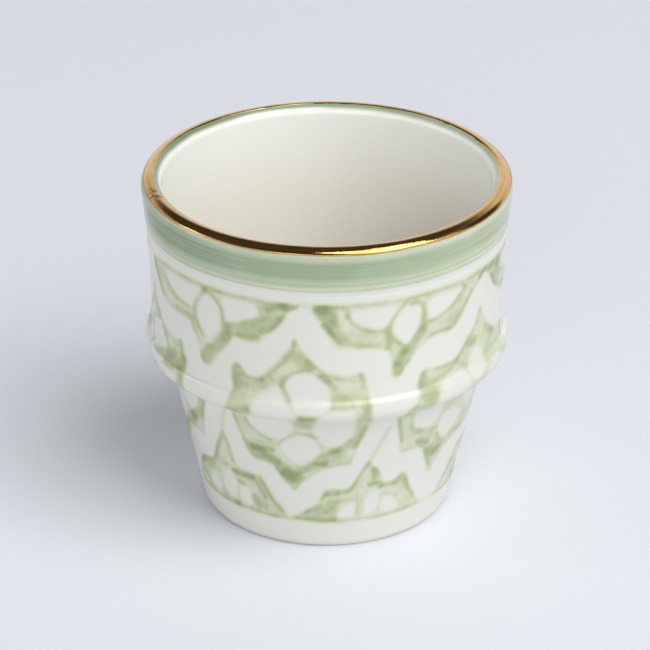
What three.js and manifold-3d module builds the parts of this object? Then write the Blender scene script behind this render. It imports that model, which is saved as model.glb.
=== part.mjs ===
// A small handleless ceramic cup: fired clay, two glazes, a green band, a gilded lip and painted ornament.
// Millimetres, +Z up. The origin is the centre of the foot's underside, and the photographed front faces -Y.
import * as THREE from "three";
import { mergeVertices } from "three/addons/utils/BufferGeometryUtils.js";
import Module from "manifold-3d";

const wasm = await Module();
wasm.setup();

// Outside form, on the finished glaze. The ridge sits on the lip of a cup stacked below, so it follows the lip.
const CUP_HEIGHT = 67.6; // top of the glazed lip, under the gilding
const RIM_RADIUS = 35;
const LIP_THICKNESS = 3.85;
const STACK_CLEARANCE = 0.45; // between the tapered lower part and the lip of the cup below
const LEDGE_HEIGHT = 31.8; // flat underside of the ridge
const LEDGE_RADIUS = RIM_RADIUS - LIP_THICKNESS - STACK_CLEARANCE; // where the lower part meets it
const LEDGE_FILLET = 0.9;
const RIDGE_INSET = 0.25; // how far the ridge stays inside the lip's outer edge
const RIDGE_RADIUS = RIM_RADIUS - RIDGE_INSET;
const RIDGE_EDGE_RADIUS = 2.4; // rounding of the ridge's lower edge
const CREASE_INSET = 0.6; // how far the ridge has drawn in at the crease above it
const CREASE_RISE = 4.7; // from the ledge up to that crease
const CREASE_DEGREES = 50; // how far the ridge leans in at the crease
const WAIST_INSET = 1.35; // how far the upper wall draws in from the lip's outer edge
const WAIST_RADIUS = RIM_RADIUS - WAIST_INSET; // its narrowest place
const WAIST_RISE = 8.2; // from the ledge up to the waist
const FLARE_DROP = 14; // how far below the lip's top the upper wall starts to flare
const FOOT_RADIUS = 24;

// Wall, floor and foot
const WALL_THICKNESS = 3.85;
const FLOOR_HEIGHT = 5;
const FLOOR_CORNER = 6; // size of the rounding between the inside wall and the floor
const FOOT_RING_WIDTH = 3;
const FOOT_RECESS_DEPTH = 1.2;
const FOOT_EDGE_RADIUS = 0.4;
const BARE_FOOT_HEIGHT = 0.1; // upright strip of bare clay between the foot's edge and the glaze

// Coats
const GLAZE_THICKNESS = 0.4;
const BAND_THICKNESS = 0.4;
const GOLD_THICKNESS = 0.2;
const PAINT_THICKNESS = 0.15;
const SEAT_GAP = 0.05; // clearance between a coat and what it lies on or meets

// Edges of the coats: heights below the lip's top, and angles round the lip from its outside over its top
const BAND_DROP = 8.6;
const GOLD_OUTER_DEGREES = 30;
const GOLD_INNER_DEGREES = 112;
const BAND_INNER_DEGREES = 150;

// Painted ornament
const UPPER_LINE_DROP = 11.4; // middle of the upper line, below the lip's top
const LOWER_LINE_HEIGHT = 6.3; // middle of the lower line
const LINE_WIDTH = 1;
const REPEAT_EDGES_DEGREES = [-40.5, 25, 93, 168.5, 244]; // spaced by hand, so not evenly

// Fineness of the turned shapes and of the motifs
const TURN_STEPS = 36;
const PETAL_STEPS = 5;
const CUTTER_INNER_RADIUS = FOOT_RADIUS / 2;
const CUTTER_OUTER_RADIUS = RIM_RADIUS * 2;

const CLAY = { color: 0xdcd4c4, roughness: 0.85, metalness: 0 };
const WHITE_GLAZE = { color: 0xe3e4df, roughness: 0.15, metalness: 0 };
const CREAM_GLAZE = { color: 0xe4e3d8, roughness: 0.2, metalness: 0 };
const SAGE_GLAZE = { color: 0x9eac92, roughness: 0.15, metalness: 0 };
const GOLD = { color: 0xc08f4a, roughness: 0.2, metalness: 1 };
const GREEN_PAINT = { color: 0xb5c09e, roughness: 0.15, metalness: 0 };

const at = (radius, height) => new THREE.Vector2(radius, height);
const taperRadius = (height) => FOOT_RADIUS + ((LEDGE_RADIUS - FOOT_RADIUS) * height) / LEDGE_HEIGHT;

// The skin is the finished surface in section: up the outside, over the lip, down the inside to the axis.
// Each stretch is a curve and the number of steps that it is drawn with.
const glazeStop = FOOT_EDGE_RADIUS + BARE_FOOT_HEIGHT;
const waistHeight = LEDGE_HEIGHT + WAIST_RISE;
const lipRadius = LIP_THICKNESS / 2;
const lipMiddle = at(RIM_RADIUS - lipRadius, CUP_HEIGHT - lipRadius);

function sampled(stretches) {
  return stretches.flatMap(([curve, steps], k) => curve.getPoints(steps).slice(k ? 1 : 0));
}

function outsideSkin() {
  const filletLow = LEDGE_HEIGHT - LEDGE_FILLET;
  const taperTop = at(taperRadius(filletLow), filletLow);
  const ledgeIn = at(LEDGE_RADIUS + LEDGE_FILLET, LEDGE_HEIGHT);
  const ledgeOut = at(RIDGE_RADIUS - RIDGE_EDGE_RADIUS, LEDGE_HEIGHT);
  const ridgeLow = at(RIDGE_RADIUS, LEDGE_HEIGHT + RIDGE_EDGE_RADIUS);
  const crease = at(RIDGE_RADIUS - CREASE_INSET, LEDGE_HEIGHT + CREASE_RISE);
  const waist = at(WAIST_RADIUS, waistHeight);
  const lean = Math.tan(THREE.MathUtils.degToRad(CREASE_DEGREES));
  const ridgeTurn = at(RIDGE_RADIUS, crease.y - CREASE_INSET / lean);
  const neckTurn = at(WAIST_RADIUS, crease.y + (crease.x - WAIST_RADIUS) / lean);
  const edge = RIDGE_EDGE_RADIUS;
  const flareStart = at(WAIST_RADIUS, CUP_HEIGHT - FLARE_DROP);
  return sampled([
    [new THREE.LineCurve(at(taperRadius(glazeStop), glazeStop), taperTop), 1],
    [new THREE.QuadraticBezierCurve(taperTop, at(LEDGE_RADIUS, LEDGE_HEIGHT), ledgeIn), 2],
    [new THREE.LineCurve(ledgeIn, ledgeOut), 1],
    [new THREE.EllipseCurve(ledgeOut.x, ridgeLow.y, edge, edge, -Math.PI / 2, 0), 2],
    [new THREE.QuadraticBezierCurve(ridgeLow, ridgeTurn, crease), 3],
    [new THREE.QuadraticBezierCurve(crease, neckTurn, waist), 2],
    [new THREE.QuadraticBezierCurve(waist, flareStart, at(RIM_RADIUS, lipMiddle.y)), 3],
  ]);
}

function lipSkin() {
  return sampled([[new THREE.EllipseCurve(lipMiddle.x, lipMiddle.y, lipRadius, lipRadius, 0, Math.PI), 6]]);
}

function insideSkin() {
  const cornerHeight = FLOOR_HEIGHT + FLOOR_CORNER;
  const cornerTop = at(taperRadius(cornerHeight) - WALL_THICKNESS, cornerHeight);
  const cornerEdge = at(taperRadius(FLOOR_HEIGHT) - WALL_THICKNESS, FLOOR_HEIGHT);
  const floorEdge = at(cornerEdge.x - FLOOR_CORNER, FLOOR_HEIGHT);
  const lipInner = at(lipMiddle.x - lipRadius, lipMiddle.y);
  const belly = at(WAIST_RADIUS - WALL_THICKNESS, waistHeight);
  return sampled([
    [new THREE.QuadraticBezierCurve(lipInner, belly, cornerTop), 5],
    [new THREE.QuadraticBezierCurve(cornerTop, cornerEdge, floorEdge), 3],
    [new THREE.LineCurve(floorEdge, at(0, FLOOR_HEIGHT)), 1],
  ]);
}

// Each station of the skin holds its point, its mitred normal and how far along the skin it lies.
function stationsOf(points) {
  const sides = points.slice(1).map((point, k) => {
    const along = point.clone().sub(points[k]).normalize();
    return at(along.y, -along.x);
  });
  let distance = 0;
  return points.map((point, k) => {
    distance += k ? point.distanceTo(points[k - 1]) : 0;
    const before = sides[Math.max(k - 1, 0)];
    const after = sides[Math.min(k, sides.length - 1)];
    const normal = before.clone().add(after);
    normal.multiplyScalar(2 / normal.lengthSq());
    return { point, normal, distance };
  });
}

const outside = outsideSkin();
const lip = lipSkin();
const inside = insideSkin();
const skin = stationsOf([...outside, ...lip.slice(1), ...inside.slice(1)]);
const skinEnd = skin.at(-1).distance;
const lipStart = skin[outside.length - 1].distance;
const lipEnd = skin[outside.length + lip.length - 2].distance;

function stationAt(distance) {
  const next = Math.max(1, skin.findIndex((station) => station.distance >= distance));
  const [a, b] = [skin[next - 1], skin[next]];
  const share = (distance - a.distance) / (b.distance - a.distance);
  return {
    point: a.point.clone().lerp(b.point, share),
    normal: a.normal.clone().lerp(b.normal, share),
  };
}

const stationsBetween = (start, end) => [
  stationAt(start),
  ...skin.filter((station) => station.distance > start && station.distance < end),
  stationAt(end),
];

function distanceAtHeight(height) {
  const next = outside.findIndex((point) => point.y >= height);
  const [a, b] = [skin[next - 1], skin[next]];
  const share = (height - a.point.y) / (b.point.y - a.point.y);
  return a.distance + share * (b.distance - a.distance);
}

const distanceRoundLip = (degrees) => lipStart + ((lipEnd - lipStart) * degrees) / 180;

// A side of a coat: the skin moved out by a depth, which is negative towards the clay.
function side(start, end, depth) {
  return stationsBetween(start, end).map(({ point, normal }) => point.clone().addScaledVector(normal, depth));
}

function turned(profile) {
  return new THREE.LatheGeometry(profile, TURN_STEPS).rotateX(Math.PI / 2);
}

function ringCoat(start, end, depthIn, depthOut) {
  const outer = side(start, end, depthOut);
  return turned([...outer, ...side(start, end, depthIn).reverse(), outer[0]]);
}

function mesh(name, geometry, look) {
  const made = new THREE.Mesh(geometry, new THREE.MeshStandardMaterial(look));
  made.name = name;
  return made;
}

// The clay body and the coats that are turned on it
const clayDepth = -GLAZE_THICKNESS - SEAT_GAP;
const bandOuterDepth = BAND_THICKNESS - GLAZE_THICKNESS;
const goldInnerDepth = bandOuterDepth + SEAT_GAP;
const bandStart = distanceAtHeight(CUP_HEIGHT - BAND_DROP);
const bandEnd = distanceRoundLip(BAND_INNER_DEGREES);

function clayBody() {
  const clay = side(0, skinEnd, clayDepth);
  const footRadius = clay[0].x - (taperRadius(glazeStop) - FOOT_RADIUS);
  const edgeMiddle = footRadius - FOOT_EDGE_RADIUS;
  const recessRadius = footRadius - FOOT_RING_WIDTH;
  const edge = FOOT_EDGE_RADIUS;
  const footEdge = new THREE.EllipseCurve(edgeMiddle, edge, edge, edge, -Math.PI / 2, 0).getPoints(2);
  const recess = [at(0, FOOT_RECESS_DEPTH), at(recessRadius, FOOT_RECESS_DEPTH), at(recessRadius, 0)];
  return turned([...recess, ...footEdge, ...clay]);
}

function innerGlaze() {
  const start = bandEnd + SEAT_GAP;
  const seat = side(start, skinEnd, -GLAZE_THICKNESS).reverse();
  return turned([...seat, ...side(start, skinEnd, 0)]);
}

const turnedCoats = () => [
  mesh("clay_body", clayBody(), CLAY),
  mesh("outer_glaze", ringCoat(0, bandStart - SEAT_GAP, -GLAZE_THICKNESS, 0), WHITE_GLAZE),
  mesh("inner_glaze", innerGlaze(), CREAM_GLAZE),
  mesh("rim_band", ringCoat(bandStart, bandEnd, -GLAZE_THICKNESS, bandOuterDepth), SAGE_GLAZE),
  mesh(
    "gold_rim",
    ringCoat(
      distanceRoundLip(GOLD_OUTER_DEGREES),
      distanceRoundLip(GOLD_INNER_DEGREES),
      goldInnerDepth,
      goldInnerDepth + GOLD_THICKNESS,
    ),
    GOLD,
  ),
];

// Motifs are drawn on half of a repeat and mirrored. Across, 0 is the motif's axis and 1 the axis of its
// neighbour motif. Up, 0 is the lower painted line and 1 the upper one.
const STAR = {
  top: [0, 0.862],
  flank: [
    [0.17, 0.776],
    [0.32, 0.707],
    [0.62, 0.713],
    [0.68, 0.595],
    [0.75, 0.475],
    [0.64, 0.33],
    [0.575, 0.282],
    [0.32, 0.268],
    [0.15, 0.21],
  ],
  bottom: [0, 0.144],
  petals: [
    { across: 0, up: 0.641, wide: 0.19, tall: 0.085 },
    { across: 0.36, up: 0.505, wide: 0.235, tall: 0.12 },
    { across: -0.36, up: 0.505, wide: 0.235, tall: 0.12 },
    { across: 0, up: 0.34, wide: 0.21, tall: 0.075 },
  ],
};
const HANGING_FLOWER = {
  top: [0, 1],
  flank: [
    [0.93, 1],
    [0.73, 0.896],
    [0.59, 0.832],
    [0.275, 0.822],
    [0.2, 0.775],
    [0.09, 0.705],
  ],
  bottom: [0, 0.665],
  petals: [
    { across: 0, up: 0.88, wide: 0.15, tall: 0.095 },
    { across: 0.39, up: 0.935, wide: 0.19, tall: 0.045 },
    { across: -0.39, up: 0.935, wide: 0.19, tall: 0.045 },
  ],
};
const STANDING_FLOWER = {
  top: [0, 0.315],
  flank: [
    [0.075, 0.235],
    [0.14, 0.186],
    [0.42, 0.178],
    [0.49, 0.15],
    [0.64, 0.084],
    [0.83, 0],
  ],
  bottom: [0, 0],
  petals: [
    { across: 0, up: 0.088, wide: 0.1, tall: 0.055 },
    { across: 0.29, up: 0.056, wide: 0.1, tall: 0.036 },
    { across: -0.29, up: 0.056, wide: 0.1, tall: 0.036 },
  ],
};

const onRight = ([across, up]) => at(across, up);
const onLeft = ([across, up]) => at(-across, up);

function motifShape({ top, flank, bottom, petals }) {
  const right = flank.map(onRight);
  const left = flank.map(onLeft).reverse();
  const shape = new THREE.Shape([onRight(top), ...right, onRight(bottom), ...left]);
  shape.holes = petals.map(({ across, up, wide, tall }) =>
    new THREE.Path().absellipse(across, up, wide, tall, 0, 2 * Math.PI),
  );
  return shape;
}

function solidOf(geometry) {
  const bare = geometry.index ? geometry.toNonIndexed() : geometry.clone();
  bare.deleteAttribute("normal");
  bare.deleteAttribute("uv");
  const merged = mergeVertices(bare);
  return new wasm.Manifold(
    new wasm.Mesh({
      numProp: 3,
      vertProperties: merged.attributes.position.array,
      triVerts: new Uint32Array(merged.index.array),
    }),
  );
}

function geometryOf(solid) {
  const { vertProperties, triVerts } = solid.getMesh();
  const geometry = new THREE.BufferGeometry();
  geometry.setAttribute("position", new THREE.BufferAttribute(vertProperties, 3));
  geometry.setIndex(new THREE.BufferAttribute(triVerts, 1));
  return geometry;
}

const lowerLine = LOWER_LINE_HEIGHT;
const upperLine = CUP_HEIGHT - UPPER_LINE_DROP;

// A cutter is a motif spread round the cup: across becomes an angle, up a height and depth a radius.
function cutter(motif, axisDegrees, leftDegrees, rightDegrees) {
  const flat = new THREE.ExtrudeGeometry(motifShape(motif), {
    depth: 1,
    bevelEnabled: false,
    curveSegments: PETAL_STEPS,
  });
  const place = flat.attributes.position;
  for (let k = 0; k < place.count; k++) {
    const across = place.getX(k);
    const reach = across < 0 ? leftDegrees : rightDegrees;
    const angle = THREE.MathUtils.degToRad(axisDegrees + across * reach);
    const radius = place.getZ(k) > 0.5 ? CUTTER_OUTER_RADIUS : CUTTER_INNER_RADIUS;
    const height = lowerLine + (upperLine - lowerLine) * place.getY(k);
    place.setXYZ(k, radius * Math.sin(angle), -radius * Math.cos(angle), height);
  }
  return solidOf(flat);
}

function paintRing(lowHeight, highHeight) {
  const [start, end] = [distanceAtHeight(lowHeight), distanceAtHeight(highHeight)];
  return solidOf(ringCoat(start, end, SEAT_GAP, SEAT_GAP + PAINT_THICKNESS));
}

// Repeats run from one edge to the next, and the last one closes on the first.
const repeats = REPEAT_EDGES_DEGREES.map((edge, k, edges) => {
  const next = k + 1 < edges.length ? edges[k + 1] : edges[0] + 360;
  return { edge, reach: (next - edge) / 2 };
});

function stars(paint) {
  return repeats.map(({ edge, reach }, k) => {
    const star = paint.intersect(cutter(STAR, edge + reach, reach, reach));
    return mesh(`star_${k + 1}`, geometryOf(star), GREEN_PAINT);
  });
}

// A border is a painted line with a half flower on it at each edge between two repeats.
function border(name, paint, motif, lineHeight) {
  const line = paintRing(lineHeight - LINE_WIDTH / 2, lineHeight + LINE_WIDTH / 2);
  const whole = repeats.reduce((joined, { edge, reach }, k) => {
    const before = repeats.at(k - 1).reach;
    return joined.add(paint.intersect(cutter(motif, edge, before, reach)));
  }, line);
  return mesh(name, geometryOf(whole), GREEN_PAINT);
}

const paint = paintRing(lowerLine, upperLine);
const cup = new THREE.Group();
cup.add(
  ...turnedCoats(),
  ...stars(paint),
  border("upper_border", paint, HANGING_FLOWER, upperLine),
  border("lower_border", paint, STANDING_FLOWER, lowerLine),
);

export default cup;
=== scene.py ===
"""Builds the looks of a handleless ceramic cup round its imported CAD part."""

import math

import bmesh
import bpy
import numpy as np
from bpy.props import FloatProperty, FloatVectorProperty, IntProperty, PointerProperty
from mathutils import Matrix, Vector


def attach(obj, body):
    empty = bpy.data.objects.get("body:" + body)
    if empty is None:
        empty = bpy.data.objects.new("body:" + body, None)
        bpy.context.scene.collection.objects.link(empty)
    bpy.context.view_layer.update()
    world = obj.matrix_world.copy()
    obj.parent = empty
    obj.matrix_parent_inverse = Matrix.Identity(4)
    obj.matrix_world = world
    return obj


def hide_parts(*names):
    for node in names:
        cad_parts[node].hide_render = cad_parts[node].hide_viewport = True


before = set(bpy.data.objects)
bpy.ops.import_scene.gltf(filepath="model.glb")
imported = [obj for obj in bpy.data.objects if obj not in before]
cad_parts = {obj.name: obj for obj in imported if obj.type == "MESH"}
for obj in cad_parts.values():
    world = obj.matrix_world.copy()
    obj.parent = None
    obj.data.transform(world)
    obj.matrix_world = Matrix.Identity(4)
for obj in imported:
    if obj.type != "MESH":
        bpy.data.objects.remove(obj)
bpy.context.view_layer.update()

bl_info = {
    "name": "Ceramic Cup",
    "version": (1, 0, 0),
    "blender": (4, 5, 0),
    "location": "3D View > Sidebar > Cup",
    "description": "Builds a glazed handleless cup with a painted star ornament",
    "category": "Add Mesh",
}

MM = 0.001

# Steps along each run of the outside, from the foot up, and along the inner floor
OUTSIDE_STEPS = {
    "taper": 74, "fillet": 4, "ledge": 3, "edge": 8, "slope": 8, "crease": 2, "waist": 8, "wall": 64,
}
FLOOR_CORNER_STEPS = 12
FLOOR_STEPS = 10
# Steps along each run of the underside, from its middle outwards
FOOT_STEPS = {"recess": 16, "recess_bend": 6, "ring_bend": 4, "ring": 6, "edge": 6}
# Fineness of the clay's outline: share of the outside steps, steps over the lip and steps inside
CLAY_ROWS = 0.4
CLAY_ARCH_STEPS = 24
CLAY_INSIDE_STEPS = 40
# Fineness of the coats' outlines, in the same way; a coat's hidden side keeps one point of several
GLAZE_ROWS = 1.0
GLAZE_UNDER_EVERY = 9
BAND_ROWS = 2.0
BAND_ARCH_STEPS = 44
BAND_UNDER_EVERY = 6
INSIDE_STEPS = 90
# Faces round the pieces that carry no ornament
PLAIN_TURN_STEPS = 288
BAND_TURN_STEPS = 360
GOLD_TURN_STEPS = 480
MERGE_DISTANCE = 0.002 * MM
SHARP_ANGLE = math.radians(60)

# Short straight run where the ridge turns into the wall
CREASE_TILT = math.radians(50)
HALF_CREASE = 0.38 * MM
# Inner corners of the foot ring: the bend into the recess, and the bend onto the table
RECESS_BEND = 1.2 * MM
RECESS_PULL = 0.2 * MM
RING_LIFT = 0.3 * MM
RING_PULL = 0.1 * MM
RING_BEND = 0.4 * MM
# Angle at which the foot's round outer edge stops, just short of the wall
FOOT_EDGE_END = -5
# Gap between the clay and its glazes
CLAY_GAP = 0.05 * MM
# How far a coat's last point and the one beside it drop, as shares of the coat's thickness
EDGE_DROPS = (0.5, 0.12)
# How far the band and the white glaze go past the band's lower edge, and how the glaze sinks under the band
BAND_LAP = 0.9 * MM
GLAZE_LAP = 0.3 * MM
SINK_START = 0.95 * MM
SINK_RUN = 0.7 * MM
SINK_DEPTH = 0.12 * MM
# Points inside the lip that the band and the lining share, and how far they dip under each other there
SEAM_POINTS = 16
SEAM_DIP = 0.04 * MM
# Gilding on the round lip, in degrees from its outer side, with square shoulders and an uneven edge
GOLD_FIRST = 33
GOLD_LAST = 108
GOLD_STEPS = 22
GOLD_UNDER_STEPS = 8
GOLD_SHOULDERS = 6
GOLD_SUNK = 0.1 * MM
GOLD_EDGE_SWAY = math.radians(16)
GOLD_NARROW_SIDE = (-0.05, 0.07, 0.0)

# Melted glazes
GLAZE_IOR = 1.6
GLAZE_WAVES = 120.0
OUTER_GLOSS = 0.21
INNER_GLOSS = 0.17
# Heights inside over which the cream goes from deep to whiter, partly the glaze's tone and partly painted
# shade deeper in the cup
CREAM_DEEPENS_AND_SHADES = (46 * MM, 64 * MM)
# Washed grounds, in millimetres from their edges and petals: soft edge, darker rim, thin paint by a petal
WASH_EDGE = (-0.6, 0.6)
WASH_RIM = (0.2, 1.2)
PETAL_SIDE = (-0.2, 2.0)
WASH_STRENGTH = 0.3
# Green band, from its lower edge up: where it fades in and where it thickens
BAND_FADE = (-0.3 * MM, 0.35 * MM)
BAND_THICKENS = (1.0 * MM, 3.6 * MM)
# Green band, round the lip from its outer side: where it turns pale, partly thinner glaze and partly a
# painted highlight, where that paleness ends, and where the band fades out
LIP_THINS_AND_SHINES = (math.radians(-38), math.radians(16))
LIP_PALENESS_ENDS = (math.radians(60), math.radians(100))
LIP_FADE = (math.radians(122), math.radians(152))
# Green band, from left to right: where the painted shade on its left side fades out, and where the painted
# light on its right side grows
PAINTED_SHADE_LEFT = (-34 * MM, -8 * MM)
PAINTED_LIGHT_RIGHT = (2 * MM, 34 * MM)
# Lines in the green band: middle above its lower edge, half width and strength
BAND_LINES = [(1.5 * MM, 0.6 * MM, 0.45), (0.35 * MM, 0.45 * MM, 0.3)]
# Streaks in the gilding: level above which they are worn, and contrast
GOLD_STREAK_LEVEL = 0.45
GOLD_STREAK_CONTRAST = 2.2
# Place on the lip where the gilding is nicked, and how far the nicks and the worn gold round them reach
NICKED_SPOT = (-31.5 * MM, -10.2 * MM, 67.5 * MM)
NICK_REACH = 3.4 * MM
WORN_REACH = 20 * MM
# Noise levels between which a nick deepens
NICK_LEVELS = (0.46, 0.72)
# Share of its reach within which a spot is full
SPOT_CORE = 0.3

# Stage, with its lengths in metres
FLOOR_REACH = 3
FLOOR_SEGMENTS = 24
LAMP_DISTANCE = 1.8
LAMP_SIZES = {"key": (1.3, 1.4), "left": (0.6, 0.7), "front": (1.4, 0.6)}
# Dark parts of the room: direction of the middle, and the cosines where it starts and where it is full
DARK_CEILING = ((-0.16, 0.0, 0.987), 0.40, 0.64)
DARK_DOORWAY = ((0.81, 0.38, 0.445), 0.90, 0.97)
# Camera, in millimetres, and its sideways shift as a share of the picture
LENS_LENGTH = 172.8
SENSOR_WIDTH = 36
LENS_SHIFT = -0.003


def srgb(red, green, blue):
    """A colour on the usual 0 to 255 scale, as linear light."""
    shares = [level / 255 for level in (red, green, blue)]
    return [s / 12.92 if s <= 0.04045 else ((s + 0.055) / 1.055) ** 2.4 for s in shares]


def length(name, description, millimetres):
    """A size that a user may change."""
    return FloatProperty(
        name=name, description=description, default=millimetres * MM, min=0,
        subtype="DISTANCE", unit="LENGTH", precision=4,
    )


def colour(name, description, red, green, blue):
    """A colour that a user may change."""
    return FloatVectorProperty(
        name=name, description=description, default=srgb(red, green, blue),
        min=0, max=1, size=3, subtype="COLOR",
    )


def lamp_power(name, description, watts):
    """A lamp's power that a user may change."""
    return FloatProperty(name=name, description=description, default=watts, min=0, unit="POWER")


def angle_in_degrees(name, description, degrees):
    """An angle that a user may change."""
    return FloatProperty(
        name=name, description=description, default=math.radians(degrees), subtype="ANGLE"
    )


class CupSizes(bpy.types.PropertyGroup):
    """The turned form's sizes."""

    cup_height: length("Cup height", "From the foot to the top of the lip", 67.6)
    rim_radius: length("Rim radius", "Outer radius of the lip", 35)
    lip_thickness: length("Lip thickness", "Across the round lip", 3.85)
    flare_drop: length("Flare drop", "From the lip's top down to where the wall starts to flare", 14)
    waist_radius: length("Waist radius", "Outer radius above the ridge", 33.65)
    waist_height: length("Waist height", "Where the upper wall is narrowest", 40)
    crease_radius: length("Crease radius", "Outer radius where the ridge turns into the wall", 34.15)
    crease_height: length("Crease height", "Where the ridge turns into the wall", 36.5)
    ridge_radius: length("Ridge radius", "Outer radius of the ridge's crest", 34.75)
    ridge_edge: length("Ridge edge", "Rounding of the ridge's lower edge", 2.4)
    ledge_height: length("Ledge height", "Underside of the ridge, on which a stacked cup rests", 31.8)
    ledge_radius: length("Ledge radius", "Top of the tapered part, below the ledge", 30.7)
    ledge_fillet: length("Ledge fillet", "Glaze gathered in the corner below the ledge", 0.9)
    foot_radius: length("Foot radius", "Outer radius of the foot", 24)
    foot_edge: length("Foot edge", "Rounding of the foot's outer edge", 0.4)
    foot_ring: length("Foot ring", "Width of the ring that the cup stands on", 3)
    foot_recess: length("Foot recess", "Depth of the recess inside the foot ring", 1.2)
    floor_height: length("Floor height", "Inner floor above the table", 5)
    floor_corner: length("Floor corner", "Rounding between inner wall and floor", 6)
    glaze_thickness: length("Glaze thickness", "Thickness of the white and cream glazes", 0.4)
    gold_thickness: length("Gold thickness", "How far the gilding stands on the lip", 0.1)
    bare_foot: length("Bare foot", "Height of clay left bare above the table", 0.5)
    band_height: length("Band height", "Lower edge of the green band", 59)
    hand_sway: length("Hand sway", "How far the turned form strays from a true circle", 0.1)
    turn_steps: IntProperty(
        name="Turn steps", description="Faces round the painted glaze", default=520, min=24, max=560
    )


class CupColours(bpy.types.PropertyGroup):
    """The finishes' colours."""

    white_glaze: colour("White glaze", "Glaze between the painted grounds", 215, 215, 206)
    wash_light: colour("Light wash", "Thin green paint", 200, 204, 177)
    wash_middle: colour("Middle wash", "Green paint of usual strength", 180, 187, 149)
    wash_dark: colour("Dark wash", "Green paint gone over twice", 161, 170, 127)
    wash_pooled: colour("Pooled wash", "Green paint gathered in pools", 135, 149, 103)
    cream_glaze: colour("Cream glaze", "Glaze inside the cup", 239, 239, 232)
    # Deeper cream: partly the glaze's own tone, partly painted shade further down inside the cup
    cream_deep_and_shaded: colour("Deep cream glaze", "Glaze further down inside the cup", 238, 235, 224)
    sage_glaze: colour("Sage glaze", "Green band below the lip", 150, 164, 131)
    # Painted shade: darker green that the band gets on the cup's left side, away from the light
    sage_painted_shade: colour("Deep sage glaze", "Green band where the brush was full", 106, 126, 84)
    sage_cool: colour("Cool sage glaze", "Bluer clouds in the green band", 145, 166, 144)
    # Pale green of thin glaze, also used for the painted highlight under the gold and the painted light on
    # the band's right side
    sage_thin_and_lit: colour("Thin sage glaze", "Green band where it runs thin", 209, 213, 188)
    sage_line: colour("Sage line", "Olive line near the band's lower edge", 160, 167, 132)
    gold: colour("Gold", "Gilding on the lip", 198, 159, 96)
    gold_worn: colour("Worn gold", "Gilding rubbed thin", 158, 114, 60)
    gold_nick: colour("Nicked gold", "Small nicks in the gilding", 140, 104, 56)
    clay: colour("Clay", "Bare fired clay of the foot", 220, 212, 196)
    clay_dark: colour("Dark clay", "Darker clouds and lines in the clay", 196, 182, 158)


class StageSettings(bpy.types.PropertyGroup):
    """Floor, light and camera."""

    floor_colour: colour("Floor", "Pale floor", 233, 236, 242)
    room_colour: colour("Room", "Pale walls of the room", 238, 240, 244)
    dark_colour: colour("Dark parts", "Ceiling and doorway of the room", 70, 70, 72)
    room_strength: FloatProperty(
        name="Room strength", description="Strength of the light from the room", default=1.36, min=0
    )
    key_power: lamp_power("Key power", "Power of the large soft lamp", 23.8)
    key_azimuth: angle_in_degrees("Key azimuth", "Large lamp's angle to the right of the front", 49)
    key_elevation: angle_in_degrees("Key elevation", "Large lamp's angle above the floor", 58)
    left_power: lamp_power("Left power", "Power of the smaller lamp on the left", 2.2)
    left_azimuth: angle_in_degrees("Left azimuth", "Smaller lamp's angle to the right of the front", -88)
    left_elevation: angle_in_degrees("Left elevation", "Smaller lamp's angle above the floor", 20)
    front_power: lamp_power("Front power", "Power of the low lamp in front", 3)
    front_azimuth: angle_in_degrees("Front azimuth", "Low lamp's angle to the right of the front", -8)
    front_elevation: angle_in_degrees("Front elevation", "Low lamp's angle above the floor", 25)
    camera_distance: length("Camera distance", "From the camera to the point it looks at", 600)
    camera_elevation: angle_in_degrees("Camera elevation", "Camera's angle above the floor", 27.05)
    camera_target: length("Camera target", "Height of the point the camera looks at", 35.24)
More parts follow.
